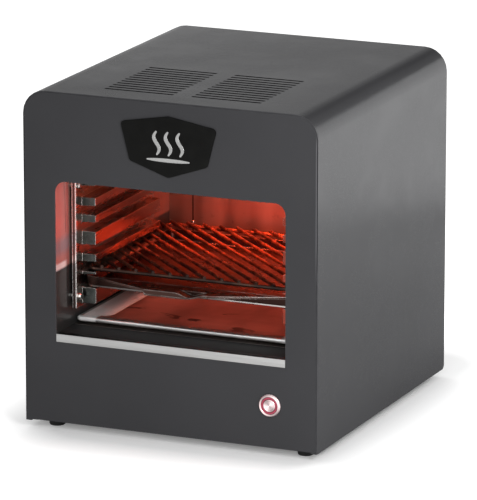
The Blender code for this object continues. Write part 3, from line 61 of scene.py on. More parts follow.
class Finish:
    """A material under construction: its node tree and its Principled shader."""

    def __init__(self, name, colour, roughness, metallic=0.0, specular=0.5):
        self.material = bpy.data.materials.new(name)
        self.material.use_nodes = True
        self.material.diffuse_color = (*colour, 1.0)
        self.tree = self.material.node_tree
        self.shader = self.tree.nodes["Principled BSDF"]
        self.set("Base Color", (*colour, 1.0))
        self.set("Roughness", roughness)
        self.set("Metallic", metallic)
        self.set("Specular IOR Level", specular)
        coordinates = self.add("ShaderNodeTexCoord")
        self.place = coordinates.outputs["Object"]
        self.facing = coordinates.outputs["Normal"]

    def set(self, socket, value):
        self.shader.inputs[socket].default_value = value

    def add(self, kind, **settings):
        node = self.tree.nodes.new(kind)
        for key, value in settings.items():
            setattr(node, key, value)
        return node

    def join(self, output, socket):
        self.tree.links.new(output, socket)

    def to(self, output, socket):
        self.join(output, self.shader.inputs[socket])

    def maths(self, operation, *values):
        """Result of a Math node on outputs and plain numbers."""
        node = self.add("ShaderNodeMath", operation=operation)
        for socket, value in zip(node.inputs, values):
            if isinstance(value, (int, float)):
                socket.default_value = value
            else:
                self.join(value, socket)
        return node.outputs[0]

    def times(self, first, second):
        return self.maths("MULTIPLY", first, second)

    def either(self, first, second):
        """The stronger of two masks."""
        return self.maths("MAXIMUM", first, second)

    def vector(self, operation, first, second=None):
        """Vector Math node on an output and, where it takes one, a fixed vector."""
        node = self.add("ShaderNodeVectorMath", operation=operation)
        self.join(first, node.inputs[0])
        if second is not None:
            node.inputs[1].default_value = second
        return node

    def axis(self, index, vector=None):
        node = self.add("ShaderNodeSeparateXYZ")
        self.join(vector or self.place, node.inputs[0])
        return node.outputs[index]

    def stretched(self, scale):
        mapping = self.add("ShaderNodeMapping")
        mapping.inputs["Scale"].default_value = scale
        self.join(self.place, mapping.inputs["Vector"])
        return mapping.outputs["Vector"]

    def noise(self, scale, detail=2.0, roughness=0.5, place=None, distortion=0.0):
        node = self.add("ShaderNodeTexNoise")
        node.inputs["Scale"].default_value = scale
        node.inputs["Detail"].default_value = detail
        node.inputs["Roughness"].default_value = roughness
        node.inputs["Distortion"].default_value = distortion
        self.join(place or self.place, node.inputs["Vector"])
        return node.outputs["Fac"]

    def spread(self, factor, low, high, low_value, high_value):
        """A value from low_value to high_value as the factor goes from low to high."""
        node = self.add("ShaderNodeMapRange")
        for socket, value in zip(node.inputs[1:5], (low, high, low_value, high_value)):
            socket.default_value = value
        self.join(factor, node.inputs["Value"])
        return node.outputs["Result"]

    def ramp(self, factor, start=0.3, end=0.7):
        """0 to 1 as the factor goes from start to end, by default over the middle of a noise."""
        return self.spread(factor, start, end, 0.0, 1.0)

    def off(self, coordinate, centre):
        """Distance from a place along one coordinate."""
        return self.maths("ABSOLUTE", self.maths("SUBTRACT", coordinate, centre))

    def near(self, coordinate, centre, reach, soft):
        """1 within reach of a place along one coordinate, 0 further off."""
        return self.spread(self.off(coordinate, centre), reach, reach + soft, 1.0, 0.0)

    def mix(self, factor, first, second):
        """Colour between two colours, each a colour or an output."""
        node = self.add("ShaderNodeMix", data_type="RGBA")
        sockets = [socket for socket in node.inputs if socket.type == "RGBA"]
        for socket, colour in zip(sockets, (first, second)):
            if isinstance(colour, tuple):
                socket.default_value = (*colour, 1.0)
            else:
                self.join(colour, socket)
        self.join(factor, node.inputs["Factor"])
        return [socket for socket in node.outputs if socket.type == "RGBA"][0]

    def toned(self, noise, colour, least, most):
        """The colour between two shares of itself, after a noise."""
        return self.mix(self.ramp(noise), scaled(colour, least), scaled(colour, most))

    def bevelled(self, radius):
        """Normals as if the piece's edges were broken to a radius."""
        node = self.add("ShaderNodeBevel", samples=BEVEL_SAMPLES)
        node.inputs["Radius"].default_value = radius
        return node.outputs["Normal"]

    def edges(self, radius):
        """1 along the piece's edges, 0 on its faces."""
        product = self.vector("DOT_PRODUCT", self.bevelled(radius))
        self.join(self.add("ShaderNodeNewGeometry").outputs["Normal"], product.inputs[1])
        return self.spread(product.outputs["Value"], *EDGE_COSINES, 1.0, 0.0)

    def bump(self, height, strength, distance, edge=0.0006):
        """Relief from a height, over edges that catch light as if they were broken to a radius."""
        node = self.add("ShaderNodeBump")
        node.inputs["Strength"].default_value = strength
        node.inputs["Distance"].default_value = distance
        self.join(height, node.inputs["Height"])
        self.join(self.bevelled(edge), node.inputs["Normal"])
        self.to(node.outputs["Normal"], "Normal")


def scaled(colour, share):
    return tuple(min(1.0, channel * share) for channel in colour)


# Materials of the housing
FIRST_VENT_Y = -0.145
VENT_HALF_PITCH = 0.00505
VENT_EDGE = (0.0018, 0.0022)       # distances from a slot's middle line over which its painted shade ends
VENT_FIELD = ((0.049, 0.0385), (-0.0895, 0.0580), (0.364, 0.002))    # middle and reach in |x|, y and z
VENT_SOFT = 0.0005
RIM_LINE = (-0.180, 0.0003, 0.0002)        # y, reach and softness
PANEL_LINE = (0.1632, 0.0003, 0.0003)      # x, reach and softness
EDGE_LINES_FROM = (0.190, 0.225)               # heights over which the painted edge lines start
EDGE_LINES_TO = (0.334, 0.345)               # and over which they end
BEND_FACING = (0.47, 0.06, 0.30)           # |x| of a bend's direction, reach and softness
BEND_GLOSS = 0.1
CORNER_SLANT = 0.8                         # weight of y against x on the way to the corner
CORNER_WAY = (-0.27, -0.10)
CORNER_GLOSS = 0.45
SHADE_SHARE = 0.08                         # these three are shares of the paint's own colour
WORN_SHARE = 1.9
HIGHLIGHT_SHARE = 2.8


def vents_and_rim_shade(finish):
    """Painted shade: 1 in and closely round the vent slots, and on the shell's front rim beside the front
    panel.
    """
    across = finish.maths("ABSOLUTE", finish.axis(X))
    row = finish.maths("PINGPONG", finish.maths("ADD", finish.axis(Y), -FIRST_VENT_Y), VENT_HALF_PITCH)
    slot = finish.spread(row, *VENT_EDGE, 1.0, 0.0)
    for coordinate, (middle, reach) in zip((across, finish.axis(Y), finish.axis(Z)), VENT_FIELD):
        slot = finish.times(slot, finish.near(coordinate, middle, reach, VENT_SOFT))
    ahead = finish.spread(finish.axis(Y, finish.facing), -0.7, -0.9, 0.0, 0.35)
    rim = finish.times(ahead, finish.near(finish.axis(Y), *RIM_LINE))
    return finish.either(slot, finish.times(rim, edge_line_heights(finish)))


def edge_line_heights(finish):
    """1 over the heights of the front's upright edges where the painted edge lines lie."""
    below = finish.spread(finish.axis(Z), *EDGE_LINES_TO, 1.0, 0.0)
    return finish.times(below, finish.ramp(finish.axis(Z), *EDGE_LINES_FROM))


def panel_edge_highlight(finish):
    """1 along the front panel's right edge, where a highlight is painted."""
    return finish.times(finish.near(finish.axis(X), *PANEL_LINE), edge_line_heights(finish))


def dullness(finish):
    """Share of gloss left on the shell: little over its bends, less at the top's front left corner."""
    bend = finish.near(finish.maths("ABSOLUTE", finish.axis(X, finish.facing)), *BEND_FACING)
    bend = finish.spread(bend, 0.0, 1.0, 1.0, BEND_GLOSS)
    corner = finish.maths("MULTIPLY_ADD", finish.axis(Y), CORNER_SLANT, finish.axis(X))
    return finish.times(bend, finish.spread(corner, *CORNER_WAY, CORNER_GLOSS, 1.0))


def paint(name, colour, roughness, specular, dark=None, light=None):
    """Powder coat: fine orange peel, faint clouds, handling marks and worn, lighter edges, with painted shade
    under a dark mask and a painted highlight under a light mask.
    """
    finish = Finish(name, colour, roughness, specular=specular)
    body = finish.toned(finish.noise(7.0, 3.0), colour, 0.94, 1.07)
    edges = finish.edges(0.0011)
    rubbed = finish.times(edges, finish.spread(finish.noise(45.0, 3.0), 0.35, 0.7, 0.15, 1.0))
    body = finish.mix(rubbed, body, scaled(colour, WORN_SHARE))
    if dark is not None:
        mask = dark(finish)
        # Under the dark mask the paint is darkened: painted shade.
        body = finish.mix(mask, body, scaled(colour, SHADE_SHARE))
        gloss = finish.times(finish.spread(mask, 0.0, 1.0, specular, 0.0), dullness(finish))
        finish.to(gloss, "Specular IOR Level")
    if light is not None:
        # Under the light mask the paint is lightened: painted highlight.
        body = finish.mix(light(finish), body, scaled(colour, HIGHLIGHT_SHARE))
    finish.to(body, "Base Color")
    marks = finish.spread(finish.noise(16.0, 4.0, 0.6), 0.45, 0.75, roughness, roughness - 0.09)
    grain = finish.noise(1500.0, 2.0)
    finish.to(finish.maths("ADD", marks, finish.spread(grain, 0.3, 0.7, -0.03, 0.03)), "Roughness")
    finish.bump(grain, 0.10, 0.0002)
    return finish.material


def brushed(name, colour, roughness, stretch, contrast, grain=70.0):
    """Steel with brush lines along one direction and a few finger smudges."""
    finish = Finish(name, colour, roughness, 1.0)
    lines = finish.noise(grain, 4.0, 0.65, finish.stretched(stretch))
    tone = finish.toned(lines, colour, 1.0 - contrast, 1.0 + contrast)
    smudge = finish.spread(finish.noise(20.0, 3.0), 0.5, 0.75, 0.0, 0.30)
    finish.to(finish.mix(smudge, tone, scaled(colour, 0.75)), "Base Color")
    finish.to(finish.spread(lines, 0.3, 0.7, roughness * 0.8, roughness * 1.3), "Roughness")
    finish.bump(lines, 0.06, 0.0001)
    return finish.material


def strip_steel(name):
    """Brushed strip in the opening, with painted light: brighter to the right, and a dark top edge that is
    painted shade.
    """
    finish = Finish(name, (0.33, 0.33, 0.325), 0.30, 1.0)
    lines = finish.ramp(finish.noise(70.0, 4.0, 0.65, finish.stretched((0.05, 1.0, 1.0))))
    # Darker and lighter copies of the steel, blended from left to right: painted light.
    left = finish.mix(lines, (0.21, 0.21, 0.207), (0.34, 0.34, 0.335))
    right = finish.mix(lines, (0.30, 0.30, 0.296), (0.46, 0.46, 0.455))
    tone = finish.mix(finish.ramp(finish.axis(X), -0.10, 0.15), left, right)
    # Faces turned upwards are darkened: painted shade.
    top = finish.ramp(finish.axis(Z, finish.facing), 0.5, 0.8)
    finish.to(finish.mix(top, tone, (0.020, 0.020, 0.020)), "Base Color")
    finish.to(finish.spread(lines, 0.0, 1.0, 0.24, 0.40), "Roughness")
    finish.bump(lines, 0.08, 0.0001)
    return finish.material


# Materials of the cavity. A look that starts at one height or depth is full at the one after it.
# A line, band, fold or rib end is a place, a reach and a softness.
TINT_HEIGHTS = (0.15, 0.25)
SPATTER_HEIGHTS = (0.19, 0.13)
MOUTH_DEPTHS = (-0.140, -0.150)
WALL_BAND = (0.197, 0.004, 0.008)
WALL_FOOT_HEIGHTS = (0.1745, 0.1720)
WALL_LINE = (0.1760, 0.0020, 0.0025)
WALL_LINE_DEPTHS = (-0.150, -0.158)
SEAM_X = -0.1017
SEAM_LINE = (SEAM_X, 0.0005, 0.0004)
RIB_END = (-0.132, 0.0030, 0.0010)
BORDER_BAND = (-0.1465, 0.0016, 0.0010)
OUTER_FOLD = (0.1216, 0.0006, 0.0004)
INNER_FOLD = (0.1256, 0.0004, 0.0003)
RIB_EDGE_DEPTHS = (-0.129, -0.131)
BORDER_EDGE_DEPTHS = (-0.1445, -0.1430)
WIRE_FRONT_DEPTHS = (-0.124, -0.126)
HEM_HEIGHTS = (0.1485, 0.1500)
HEM_WAY = (0.036, 0.046)           # along x, from the pan's apron to its straight lip
LIP_LINE = (0.1474, 0.0007, 0.0005)
TRAY_BASIN = (0.0030, 0.0050)      # below the tray's top
TRAY_RIM = (0.0052, 0.0044)
TRAY_RIM_DEPTHS = (-0.1275, -0.1300)
TRAY_SLOPE = (0.1045, 0.1060)      # in |x|
TRAY_OUTSIDE = (0.1225, 0.1240)
TRAY_FOLD = (0.1050, 0.0006, 0.0006)


def cavity_steel(name, colour, roughness, stretch, mouth=None, seam=None, metallic=1.0):
    """Hot-worked stainless sheet: brush lines, a heat tint high up and spatter low down."""
    finish = Finish(name, colour, roughness, metallic)
    lines = finish.noise(40.0, 3.0, 0.6, finish.stretched(stretch))
    tone = finish.toned(lines, colour, 0.86, 1.10)
    bands = finish.noise(11.0, 2.0, 0.5, finish.stretched((1.0, 1.0, 0.06)))
    tone = finish.mix(finish.spread(bands, 0.48, 0.62, 0.0, 0.55), tone, scaled(colour, 0.35))
    height = finish.axis(Z)
    hot = finish.maths("ADD", height, finish.spread(finish.noise(12.0, 3.0), 0.3, 0.7, -0.02, 0.02))
    tinted = finish.mix(finish.spread(hot, *TINT_HEIGHTS, 0.10, 0.55), tone, (0.40, 0.21, 0.14))
    if mouth is not None:
        tinted = polished_mouth(finish, lines, mouth, tinted)
    spatter = finish.spread(finish.noise(120.0, 4.0, 0.65), 0.62, 0.70, 0.0, 0.75)
    low = finish.ramp(finish.axis(Z), *SPATTER_HEIGHTS)
    soiled = finish.mix(finish.times(spatter, low), tinted, (0.09, 0.05, 0.035))
    if seam is not None:
        soiled = finish.mix(finish.near(finish.axis(X), *seam), soiled, (0.02, 0.015, 0.012))
    finish.to(soiled, "Base Color")
    finish.to(finish.spread(lines, 0.3, 0.7, roughness * 0.85, roughness * 1.2), "Roughness")
    finish.bump(lines, 0.05, 0.0001)
    return finish.material


def polished_mouth(finish, lines, colour, behind):
    """A side wall's front part: polished, with a greyish band and a bright line, a painted highlight, over a
    darker foot.
    """
    steel = finish.ramp(lines, 0.35, 0.65)
    polish = finish.mix(steel, scaled(colour, 0.85), scaled(colour, 1.10))
    polish = finish.mix(finish.near(finish.axis(Z), *WALL_BAND), polish, (0.24, 0.20, 0.22))
    wall = finish.mix(finish.ramp(finish.axis(Y), *MOUTH_DEPTHS), behind, polish)
    wall = finish.mix(finish.ramp(finish.axis(Z), *WALL_FOOT_HEIGHTS), wall, (0.034, 0.034, 0.033))
    # The bright line near the front: painted highlight.
    line = finish.near(finish.axis(Z), *WALL_LINE)
    ahead = finish.spread(finish.axis(Y), *WALL_LINE_DEPTHS, 0.0, 0.8)
    return finish.mix(finish.times(line, ahead), wall, (0.85, 0.84, 0.83))


def rack_steel(name, dark, pale):
    """Pressed rack: border folds and rib-end edges lightened as painted highlights, darker front faces on the
    rib ends, and warm, brushed rib flanks.
    """
    colour = (0.36, 0.31, 0.28)
    finish = Finish(name, colour, 0.26, 1.0)
    lines = finish.noise(60.0, 3.0, 0.6, finish.stretched((1.0, 0.15, 1.0)))
    tone = finish.toned(lines, colour, 0.55, 1.25)
    along = finish.axis(Y)
    front = finish.ramp(finish.axis(Y, finish.facing), -0.6, -0.9)
    end = finish.times(front, finish.near(along, *RIB_END))
    end_mottle = finish.ramp(finish.noise(90.0, 3.0))
    end_tone = finish.mix(end_mottle, dark, pale)
    border = finish.near(along, *BORDER_BAND)
    across = finish.maths("ABSOLUTE", finish.axis(X))
    # The border's fold lines are lightened to near white: painted highlights.
    fold_highlights = finish.either(finish.near(across, *OUTER_FOLD), finish.near(across, *INNER_FOLD))
    strip = finish.mix(fold_highlights, (0.11, 0.075, 0.070), (0.80, 0.77, 0.75))
    plain = finish.mix(border, finish.mix(end, tone, end_tone), strip)
    # Edges of the rib ends and border lightened to near white: painted highlights.
    lit = finish.times(finish.edges(0.0006), finish.spread(along, *RIB_EDGE_DEPTHS, 0.65, 1.0))
    lit = finish.times(lit, finish.ramp(along, *BORDER_EDGE_DEPTHS))
    finish.to(finish.mix(lit, plain, (1.0, 0.97, 0.95)), "Base Color")
    finish.to(finish.spread(lines, 0.3, 0.7, 0.20, 0.34), "Roughness")
    finish.bump(lines, 0.05, 0.0001)
    return finish.material


def burnt_wire(name):
    """Grate wire: brown-black baked fat, bare steel where it is rubbed, and a dark front."""
    finish = Finish(name, (0.10, 0.065, 0.050), 0.36, 0.85)
    crust = finish.ramp(finish.noise(55.0, 5.0, 0.6), 0.36, 0.58)
    wire = finish.mix(crust, (0.21, 0.105, 0.070), (0.020, 0.011, 0.009))
    front = finish.spread(finish.axis(Y), *WIRE_FRONT_DEPTHS, 0.0, 0.75)
    finish.to(finish.mix(front, wire, (0.022, 0.014, 0.012)), "Base Color")
    finish.to(finish.spread(crust, 0.0, 1.0, 0.24, 0.50), "Roughness")
    finish.bump(finish.noise(420.0, 3.0), 0.25, 0.0003)
    return finish.material


def greasy_pan(name):
    """Juice pan: dark baked film inside, front faces darkened as painted shade, and a bright hem along the
    folds that is partly worn bare metal and partly a painted highlight.
    """
    colour = (0.105, 0.072, 0.062)
    finish = Finish(name, colour, 0.24, 1.0)
    film = finish.ramp(finish.noise(26.0, 4.0, 0.6), 0.35, 0.68)
    tone = finish.mix(film, colour, (0.030, 0.018, 0.015))
    # Faces turned to the front are darkened: painted shade.
    ahead = finish.ramp(finish.axis(Y, finish.facing), -0.35, -0.75)
    tone = finish.mix(ahead, tone, (0.042, 0.022, 0.018))
    # The bright hem is partly worn bare metal and partly a painted highlight.
    worn = finish.spread(finish.noise(70.0, 2.0), 0.40, 0.60, 0.35, 1.0)
    upper = finish.spread(finish.axis(Z), *HEM_HEIGHTS, 0.15, 1.0)
    beside = finish.spread(finish.axis(X), *HEM_WAY, 0.30, 1.0)
    edges = finish.edges(0.0010)
    bare = finish.either(worn, finish.ramp(beside, 0.5, 1.0))
    hem = finish.times(finish.times(edges, finish.times(bare, upper)), beside)
    # A bright line on the lip's front faces: painted highlight.
    line = finish.times(finish.near(finish.axis(Z), *LIP_LINE), beside)
    hem = finish.either(hem, finish.times(line, ahead))
    finish.to(finish.mix(hem, tone, (0.90, 0.84, 0.80)), "Base Color")
    finish.to(finish.spread(film, 0.0, 1.0, 0.22, 0.40), "Roughness")
    finish.bump(finish.noise(300.0, 3.0), 0.10, 0.0002)
    return finish.material


def drip_steel(name, top):
    """Drip tray: satin steel, red as painted glow, with a pale lit copy on its sloped sides, painted
    highlights on the front rim and the fold, painted shade outside the slopes, heat bloom and dark dried
    drips.
    """
    # The red colour is the heater's glow painted into the steel.
    colour = (0.50, 0.205, 0.155)
    finish = Finish(name, colour, 0.40, 1.0)
    lines = finish.noise(50.0, 3.0, 0.6, finish.stretched((0.12, 1.0, 1.0)))
    tone = finish.toned(lines, colour, 0.88, 1.08)
    bloom = finish.noise(18.0, 3.0, 0.5, finish.stretched((1.0, 0.5, 1.0)))
    tone = finish.mix(finish.spread(bloom, 0.45, 0.65, 0.0, 0.6), tone, scaled(colour, 0.42))
    runs = finish.noise(34.0, 3.0, 0.55, finish.stretched((0.45, 1.0, 1.0)), 0.8)
    drips = finish.spread(runs, 0.635, 0.665, 0.0, 0.85)
    basin = finish.ramp(finish.axis(Z), *(top - drop for drop in TRAY_BASIN))
    soiled = finish.mix(finish.times(drips, basin), tone, (0.035, 0.013, 0.010))
    # The front rim is lightened to near white: painted highlight.
    rim = finish.ramp(finish.axis(Z), *(top - drop for drop in TRAY_RIM))
    rim = finish.times(rim, finish.spread(finish.axis(Y), *TRAY_RIM_DEPTHS, 0.15, 1.0))
    across = finish.maths("ABSOLUTE", finish.axis(X))
    aside = finish.ramp(across, *TRAY_SLOPE)
    # The sloped sides take a pale copy of the steel as if lit from the front: painted light; beyond them,
    # painted shade.
    brush = finish.noise(50.0, 3.0, 0.6, finish.stretched((1.0, 0.12, 1.0)))
    lit_slope = finish.mix(finish.ramp(brush), (0.70, 0.60, 0.58), (0.98, 0.88, 0.85))
    lit_slope = finish.mix(finish.ramp(across, *TRAY_OUTSIDE), lit_slope, (0.10, 0.08, 0.075))
    sloped = finish.mix(aside, soiled, lit_slope)
    # A bright line along the fold: painted highlight.
    sloped = finish.mix(finish.near(across, *TRAY_FOLD), sloped, (1.0, 0.85, 0.75))
    finish.to(finish.spread(aside, 0.0, 1.0, 1.0, 0.45), "Metallic")
    finish.to(finish.mix(rim, sloped, (0.92, 0.91, 0.90)), "Base Color")
    finish.to(finish.spread(rim, 0.0, 1.0, 0.42, 0.28), "Roughness")
    finish.bump(lines, 0.05, 0.0001, 0.0012)
    return finish.material


# Materials of the small parts
def moulded(name, colour, roughness, grain=2500.0, strength=0.1, specular=0.4):
    """Moulded rubber, plastic or ceramic: fine grain, faint bloom."""
    finish = Finish(name, colour, roughness, specular=specular)
    bloom = finish.ramp(finish.noise(60.0, 3.0))
    pale = tuple(channel * 1.25 + 0.001 for channel in colour)
    finish.to(finish.mix(bloom, colour, pale), "Base Color")
    finish.to(finish.spread(bloom, 0.0, 1.0, roughness - 0.05, roughness + 0.05), "Roughness")
    finish.bump(finish.noise(grain, 2.0), strength, 0.0002)
    return finish.material


def fibre(name, colour):
    """Wool or woven sleeve: fine strands."""
    finish = Finish(name, colour, 0.95, specular=0.2)
    strands = finish.noise(300.0, 4.0, 0.7, finish.stretched((1.0, 6.0, 1.0)))
    finish.to(finish.mix(strands, scaled(colour, 0.7), colour), "Base Color")
    finish.bump(strands, 0.5, 0.001)
    return finish.material


def glowing(name, colour, glow, strength, grain=40.0):
    """Surface that shines by itself, a little unevenly."""
    finish = Finish(name, colour, 0.45)
    warm = finish.ramp(finish.noise(grain, 2.0))
    finish.to(finish.mix(warm, scaled(glow, 0.75), glow), "Emission Color")
    finish.to(finish.mix(warm, scaled(colour, 0.8), colour), "Base Color")
    finish.set("Emission Strength", strength)
    finish.bump(finish.noise(900.0), 0.1, 0.0002)
    return finish.material


def spun(name, colour, roughness, centre):
    """Polished metal turned round the button's axis, with anisotropic shine and a fan of bright and dark
    wedges painted into its colour as highlights.
    """
    finish = Finish(name, colour, roughness, 1.0)
    finish.set("Anisotropic", 0.75)
    arm = finish.vector("SUBTRACT", finish.place, centre).outputs[0]
    around = finish.vector("CROSS_PRODUCT", arm, (0.0, 1.0, 0.0)).outputs[0]
    finish.to(finish.vector("NORMALIZE", around).outputs[0], "Tangent")
    radius = finish.vector("LENGTH", arm).outputs["Value"]
    lathe = finish.add("ShaderNodeTexNoise", noise_dimensions="1D")
    lathe.inputs["Scale"].default_value = 5000.0
    finish.join(radius, lathe.inputs["W"])
    rings = lathe.outputs["Fac"]
    # Bright and dark wedges by the angle round the axis: painted highlights.
    turn = finish.maths("ARCTAN2", finish.axis(Z, arm), finish.axis(X, arm))
    fan = finish.maths("SINE", finish.maths("MULTIPLY_ADD", turn, 2.0, 0.3))
    fan_highlight = finish.mix(finish.ramp(fan, -0.9, 0.9), scaled(colour, 0.45), scaled(colour, 1.30))
    turned = finish.mix(finish.spread(rings, 0.3, 0.7, 0.0, 0.35), fan_highlight, scaled(colour, 0.80))
    finish.to(turned, "Base Color")
    finish.to(finish.spread(rings, 0.3, 0.7, roughness * 0.8, roughness * 1.3), "Roughness")
    finish.bump(rings, 0.05, 0.0001)
    return finish.material


def middle_of(node):
    low, high = (Vector(corner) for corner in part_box(node))
    return (low + high) / 2


def top_of(node):
    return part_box(node)[1][2]


BUTTON = tuple(middle_of("button_bezel"))
PAINT = ((0.0395, 0.0395, 0.0420), 0.26, 0.020)    # colour, roughness, specular level
EVEN = (1.0, 1.0, 1.0)                             # brush lines without a direction
ALONG_X, ALONG_Y = (0.02, 1.0, 1.0), (1.0, 0.1, 1.0)

SLOT_FINISHES = {
    "satin_paint": paint("satin_paint", *PAINT),
    "sill_paint": paint("sill_paint", (0.0170, 0.0170, 0.0172), 0.50, specular=0.08),
    "brushed_steel": brushed("brushed_steel", (0.315, 0.315, 0.311), 0.30, ALONG_X, contrast=0.14),
    "polished_steel": brushed("polished_steel", (0.58, 0.56, 0.54), 0.22, ALONG_Y, contrast=0.08),
    "aluminised_steel": brushed("aluminised_steel", (0.50, 0.49, 0.47), 0.42, EVEN, contrast=0.12,
                                grain=160.0),
    "element_sheath": glowing("element_sheath", (0.30, 0.08, 0.04), (1.0, 0.14, 0.03), strength=2.0),
    "ceramic": moulded("ceramic", (0.82, 0.79, 0.72), 0.6),
    "mineral_wool": fibre("mineral_wool", (0.74, 0.70, 0.58)),
    "badge_black": moulded("badge_black", (0.0039, 0.0039, 0.0037), 0.50, grain=1200.0, strength=0.15,
                           specular=0.04),
    "button_chrome": spun("button_chrome", (0.70, 0.56, 0.56), 0.22, BUTTON),
    "ring_lens": glowing("ring_lens", (0.24, 0.025, 0.05), (0.75, 0.05, 0.11), strength=0.17, grain=300.0),
    "black_rubber": moulded("black_rubber", (0.010, 0.010, 0.010), 0.75),
    "black_plastic": moulded("black_plastic", (0.018, 0.018, 0.019), 0.5),
    "white_plastic": moulded("white_plastic", (0.78, 0.77, 0.73), 0.45),
    "zinc_steel": brushed("zinc_steel", (0.50, 0.50, 0.48), 0.34, EVEN, contrast=0.12, grain=300.0),
    "lead_sleeve": fibre("lead_sleeve", (0.50, 0.06, 0.03)),
}

# Pieces that wear a version of their own
# The red in these wall colours, strongest in the front part, is the heater's glow painted into the steel,
# besides the red lamps.
wall = cavity_steel("wall_steel", (0.30, 0.18, 0.15), 0.30, (1.0, 1.0, 0.08), mouth=(0.42, 0.18, 0.16),
                    metallic=0.5)
NODE_FINISHES = {
    "outer_housing": paint("shell_paint", *PAINT, dark=vents_and_rim_shade),
    "front_panel": paint("panel_paint", *PAINT, light=panel_edge_highlight),
    "sill_strip": strip_steel("strip_steel"),
    "liner_left": wall,
    "liner_right": wall,
    "liner_back": cavity_steel("back_steel", (0.42, 0.275, 0.215), 0.42, (1.0, 1.0, 0.1), seam=SEAM_LINE),
    "liner_floor": cavity_steel("floor_steel", (0.30, 0.28, 0.27), 0.38, (0.1, 1.0, 1.0)),
    "rack_left": rack_steel("dark_ended_rack", dark=(0.030, 0.033, 0.031), pale=(0.060, 0.062, 0.058)),
    "rack_right": rack_steel("red_ended_rack", dark=(0.160, 0.028, 0.018), pale=(0.240, 0.045, 0.028)),
    "grill_grate": burnt_wire("burnt_wire"),
    "juice_pan": greasy_pan("greasy_steel"),
    "drip_tray": drip_steel("drip_steel", top_of("drip_tray")),
}


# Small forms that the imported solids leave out
MARK_COLUMNS = (-0.0130, 0.0, 0.0130)
MARK_STEPS = 24
MARK_SWING = 0.0030
MARK_HEIGHT = 0.0250
MARK_DROP = 0.0090
MARK_WIDTH = 0.0040
MARK_RELIEF = 0.0002
MARK_BAR = 0.0480
MARK_BAR_STEPS = 6
MARK_GAP = 0.0050
RIBBON_END = 0.35                  # a ribbon's width at its ends, as a share of its full width
RIBBON_SWELL = 0.6
RIVET_HEIGHTS = (0.1180, 0.1626)
RIVET_RADIUS = 0.0019
RIVET_DOME = 0.0010
RIVET_RINGS = 5
RIVET_SIDES = 20


def add_piece(name, bm, material):
    bmesh.ops.recalc_face_normals(bm, faces=bm.faces)
    mesh = bpy.data.meshes.new(name)
    bm.to_mesh(mesh)
    bm.free()
    mesh.materials.append(material)
    piece = bpy.data.objects.new(name, mesh)
    scene.collection.objects.link(piece)
    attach(piece, "housing")


def add_ribbon(bm, spine, width, front, back):
    """Flat bar between two depths along a spine of (x, z) points, tapering to its ends."""
    rows = []
    for index, (x, z) in enumerate(spine):
        after = Vector(spine[min(index + 1, len(spine) - 1)])
        before = Vector(spine[max(index - 1, 0)])
        across = (after - before).orthogonal().normalized()
        share = index / (len(spine) - 1)
        half = width / 2 * (RIBBON_END + (1.0 - RIBBON_END) * math.sin(math.pi * share) ** RIBBON_SWELL)
        edge = [(x + side * half * across.x, z + side * half * across.y) for side in (-1, 1)]
        rows.append([bm.verts.new((a, y, b)) for y in (front, back) for a, b in edge])
    for low, high in zip(rows, rows[1:]):
        for first, second in ((0, 1), (1, 3), (3, 2), (2, 0)):
            bm.faces.new((low[first], low[second], high[second], high[first]))
    for row in (rows[0], rows[-1]):
        bm.faces.new((row[0], row[1], row[3], row[2]))


def make_heat_mark():
    """Plain heat sign on the badge: three waves over a bar."""
    low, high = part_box("badge_plate")
    face = low[Y]
    foot = (low[Z] + high[Z]) / 2 - MARK_DROP
    depths = (face - MARK_RELIEF, face + MARK_RELIEF)
    bm = bmesh.new()
    for column in MARK_COLUMNS:
        steps = [index / MARK_STEPS for index in range(MARK_STEPS + 1)]
        wave = [(column + MARK_SWING * math.sin(math.tau * t), foot + MARK_HEIGHT * t) for t in steps]
        add_ribbon(bm, wave, MARK_WIDTH, *depths)
    steps = [index / MARK_BAR_STEPS - 0.5 for index in range(MARK_BAR_STEPS + 1)]
    add_ribbon(bm, [(MARK_BAR * t, foot - MARK_GAP) for t in steps], MARK_WIDTH, *depths)
    add_piece("heat_mark", bm, SLOT_FINISHES["brushed_steel"])


def make_seam_rivets():
    """Domed rivets in the seam of the cavity's rear wall."""
    wall_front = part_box("liner_back")[0][1]
    turns = [math.tau * side / RIVET_SIDES for side in range(RIVET_SIDES)]
    bm = bmesh.new()
    for height in RIVET_HEIGHTS:
        rings = []
        for ring in range(RIVET_RINGS):
            angle = math.pi / 2 * ring / RIVET_RINGS
            reach = RIVET_RADIUS * math.cos(angle)
            depth = wall_front - RIVET_DOME * math.sin(angle)
            rings.append([
                bm.verts.new((SEAM_X + reach * math.cos(turn), depth, height + reach * math.sin(turn)))
                for turn in turns])
        for lower, upper in zip(rings, rings[1:]):
            for side in range(RIVET_SIDES):
                bm.faces.new((lower[side - 1], lower[side], upper[side], upper[side - 1]))
        bm.faces.new(rings[0])
        bm.faces.new(rings[-1])
    add_piece("seam_rivets", bm, SLOT_FINISHES["polished_steel"])


make_heat_mark()
make_seam_rivets()


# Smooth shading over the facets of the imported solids, whose meshes stay as they are
WELD = 0.00001
SMOOTH_ANGLE = math.radians(32)


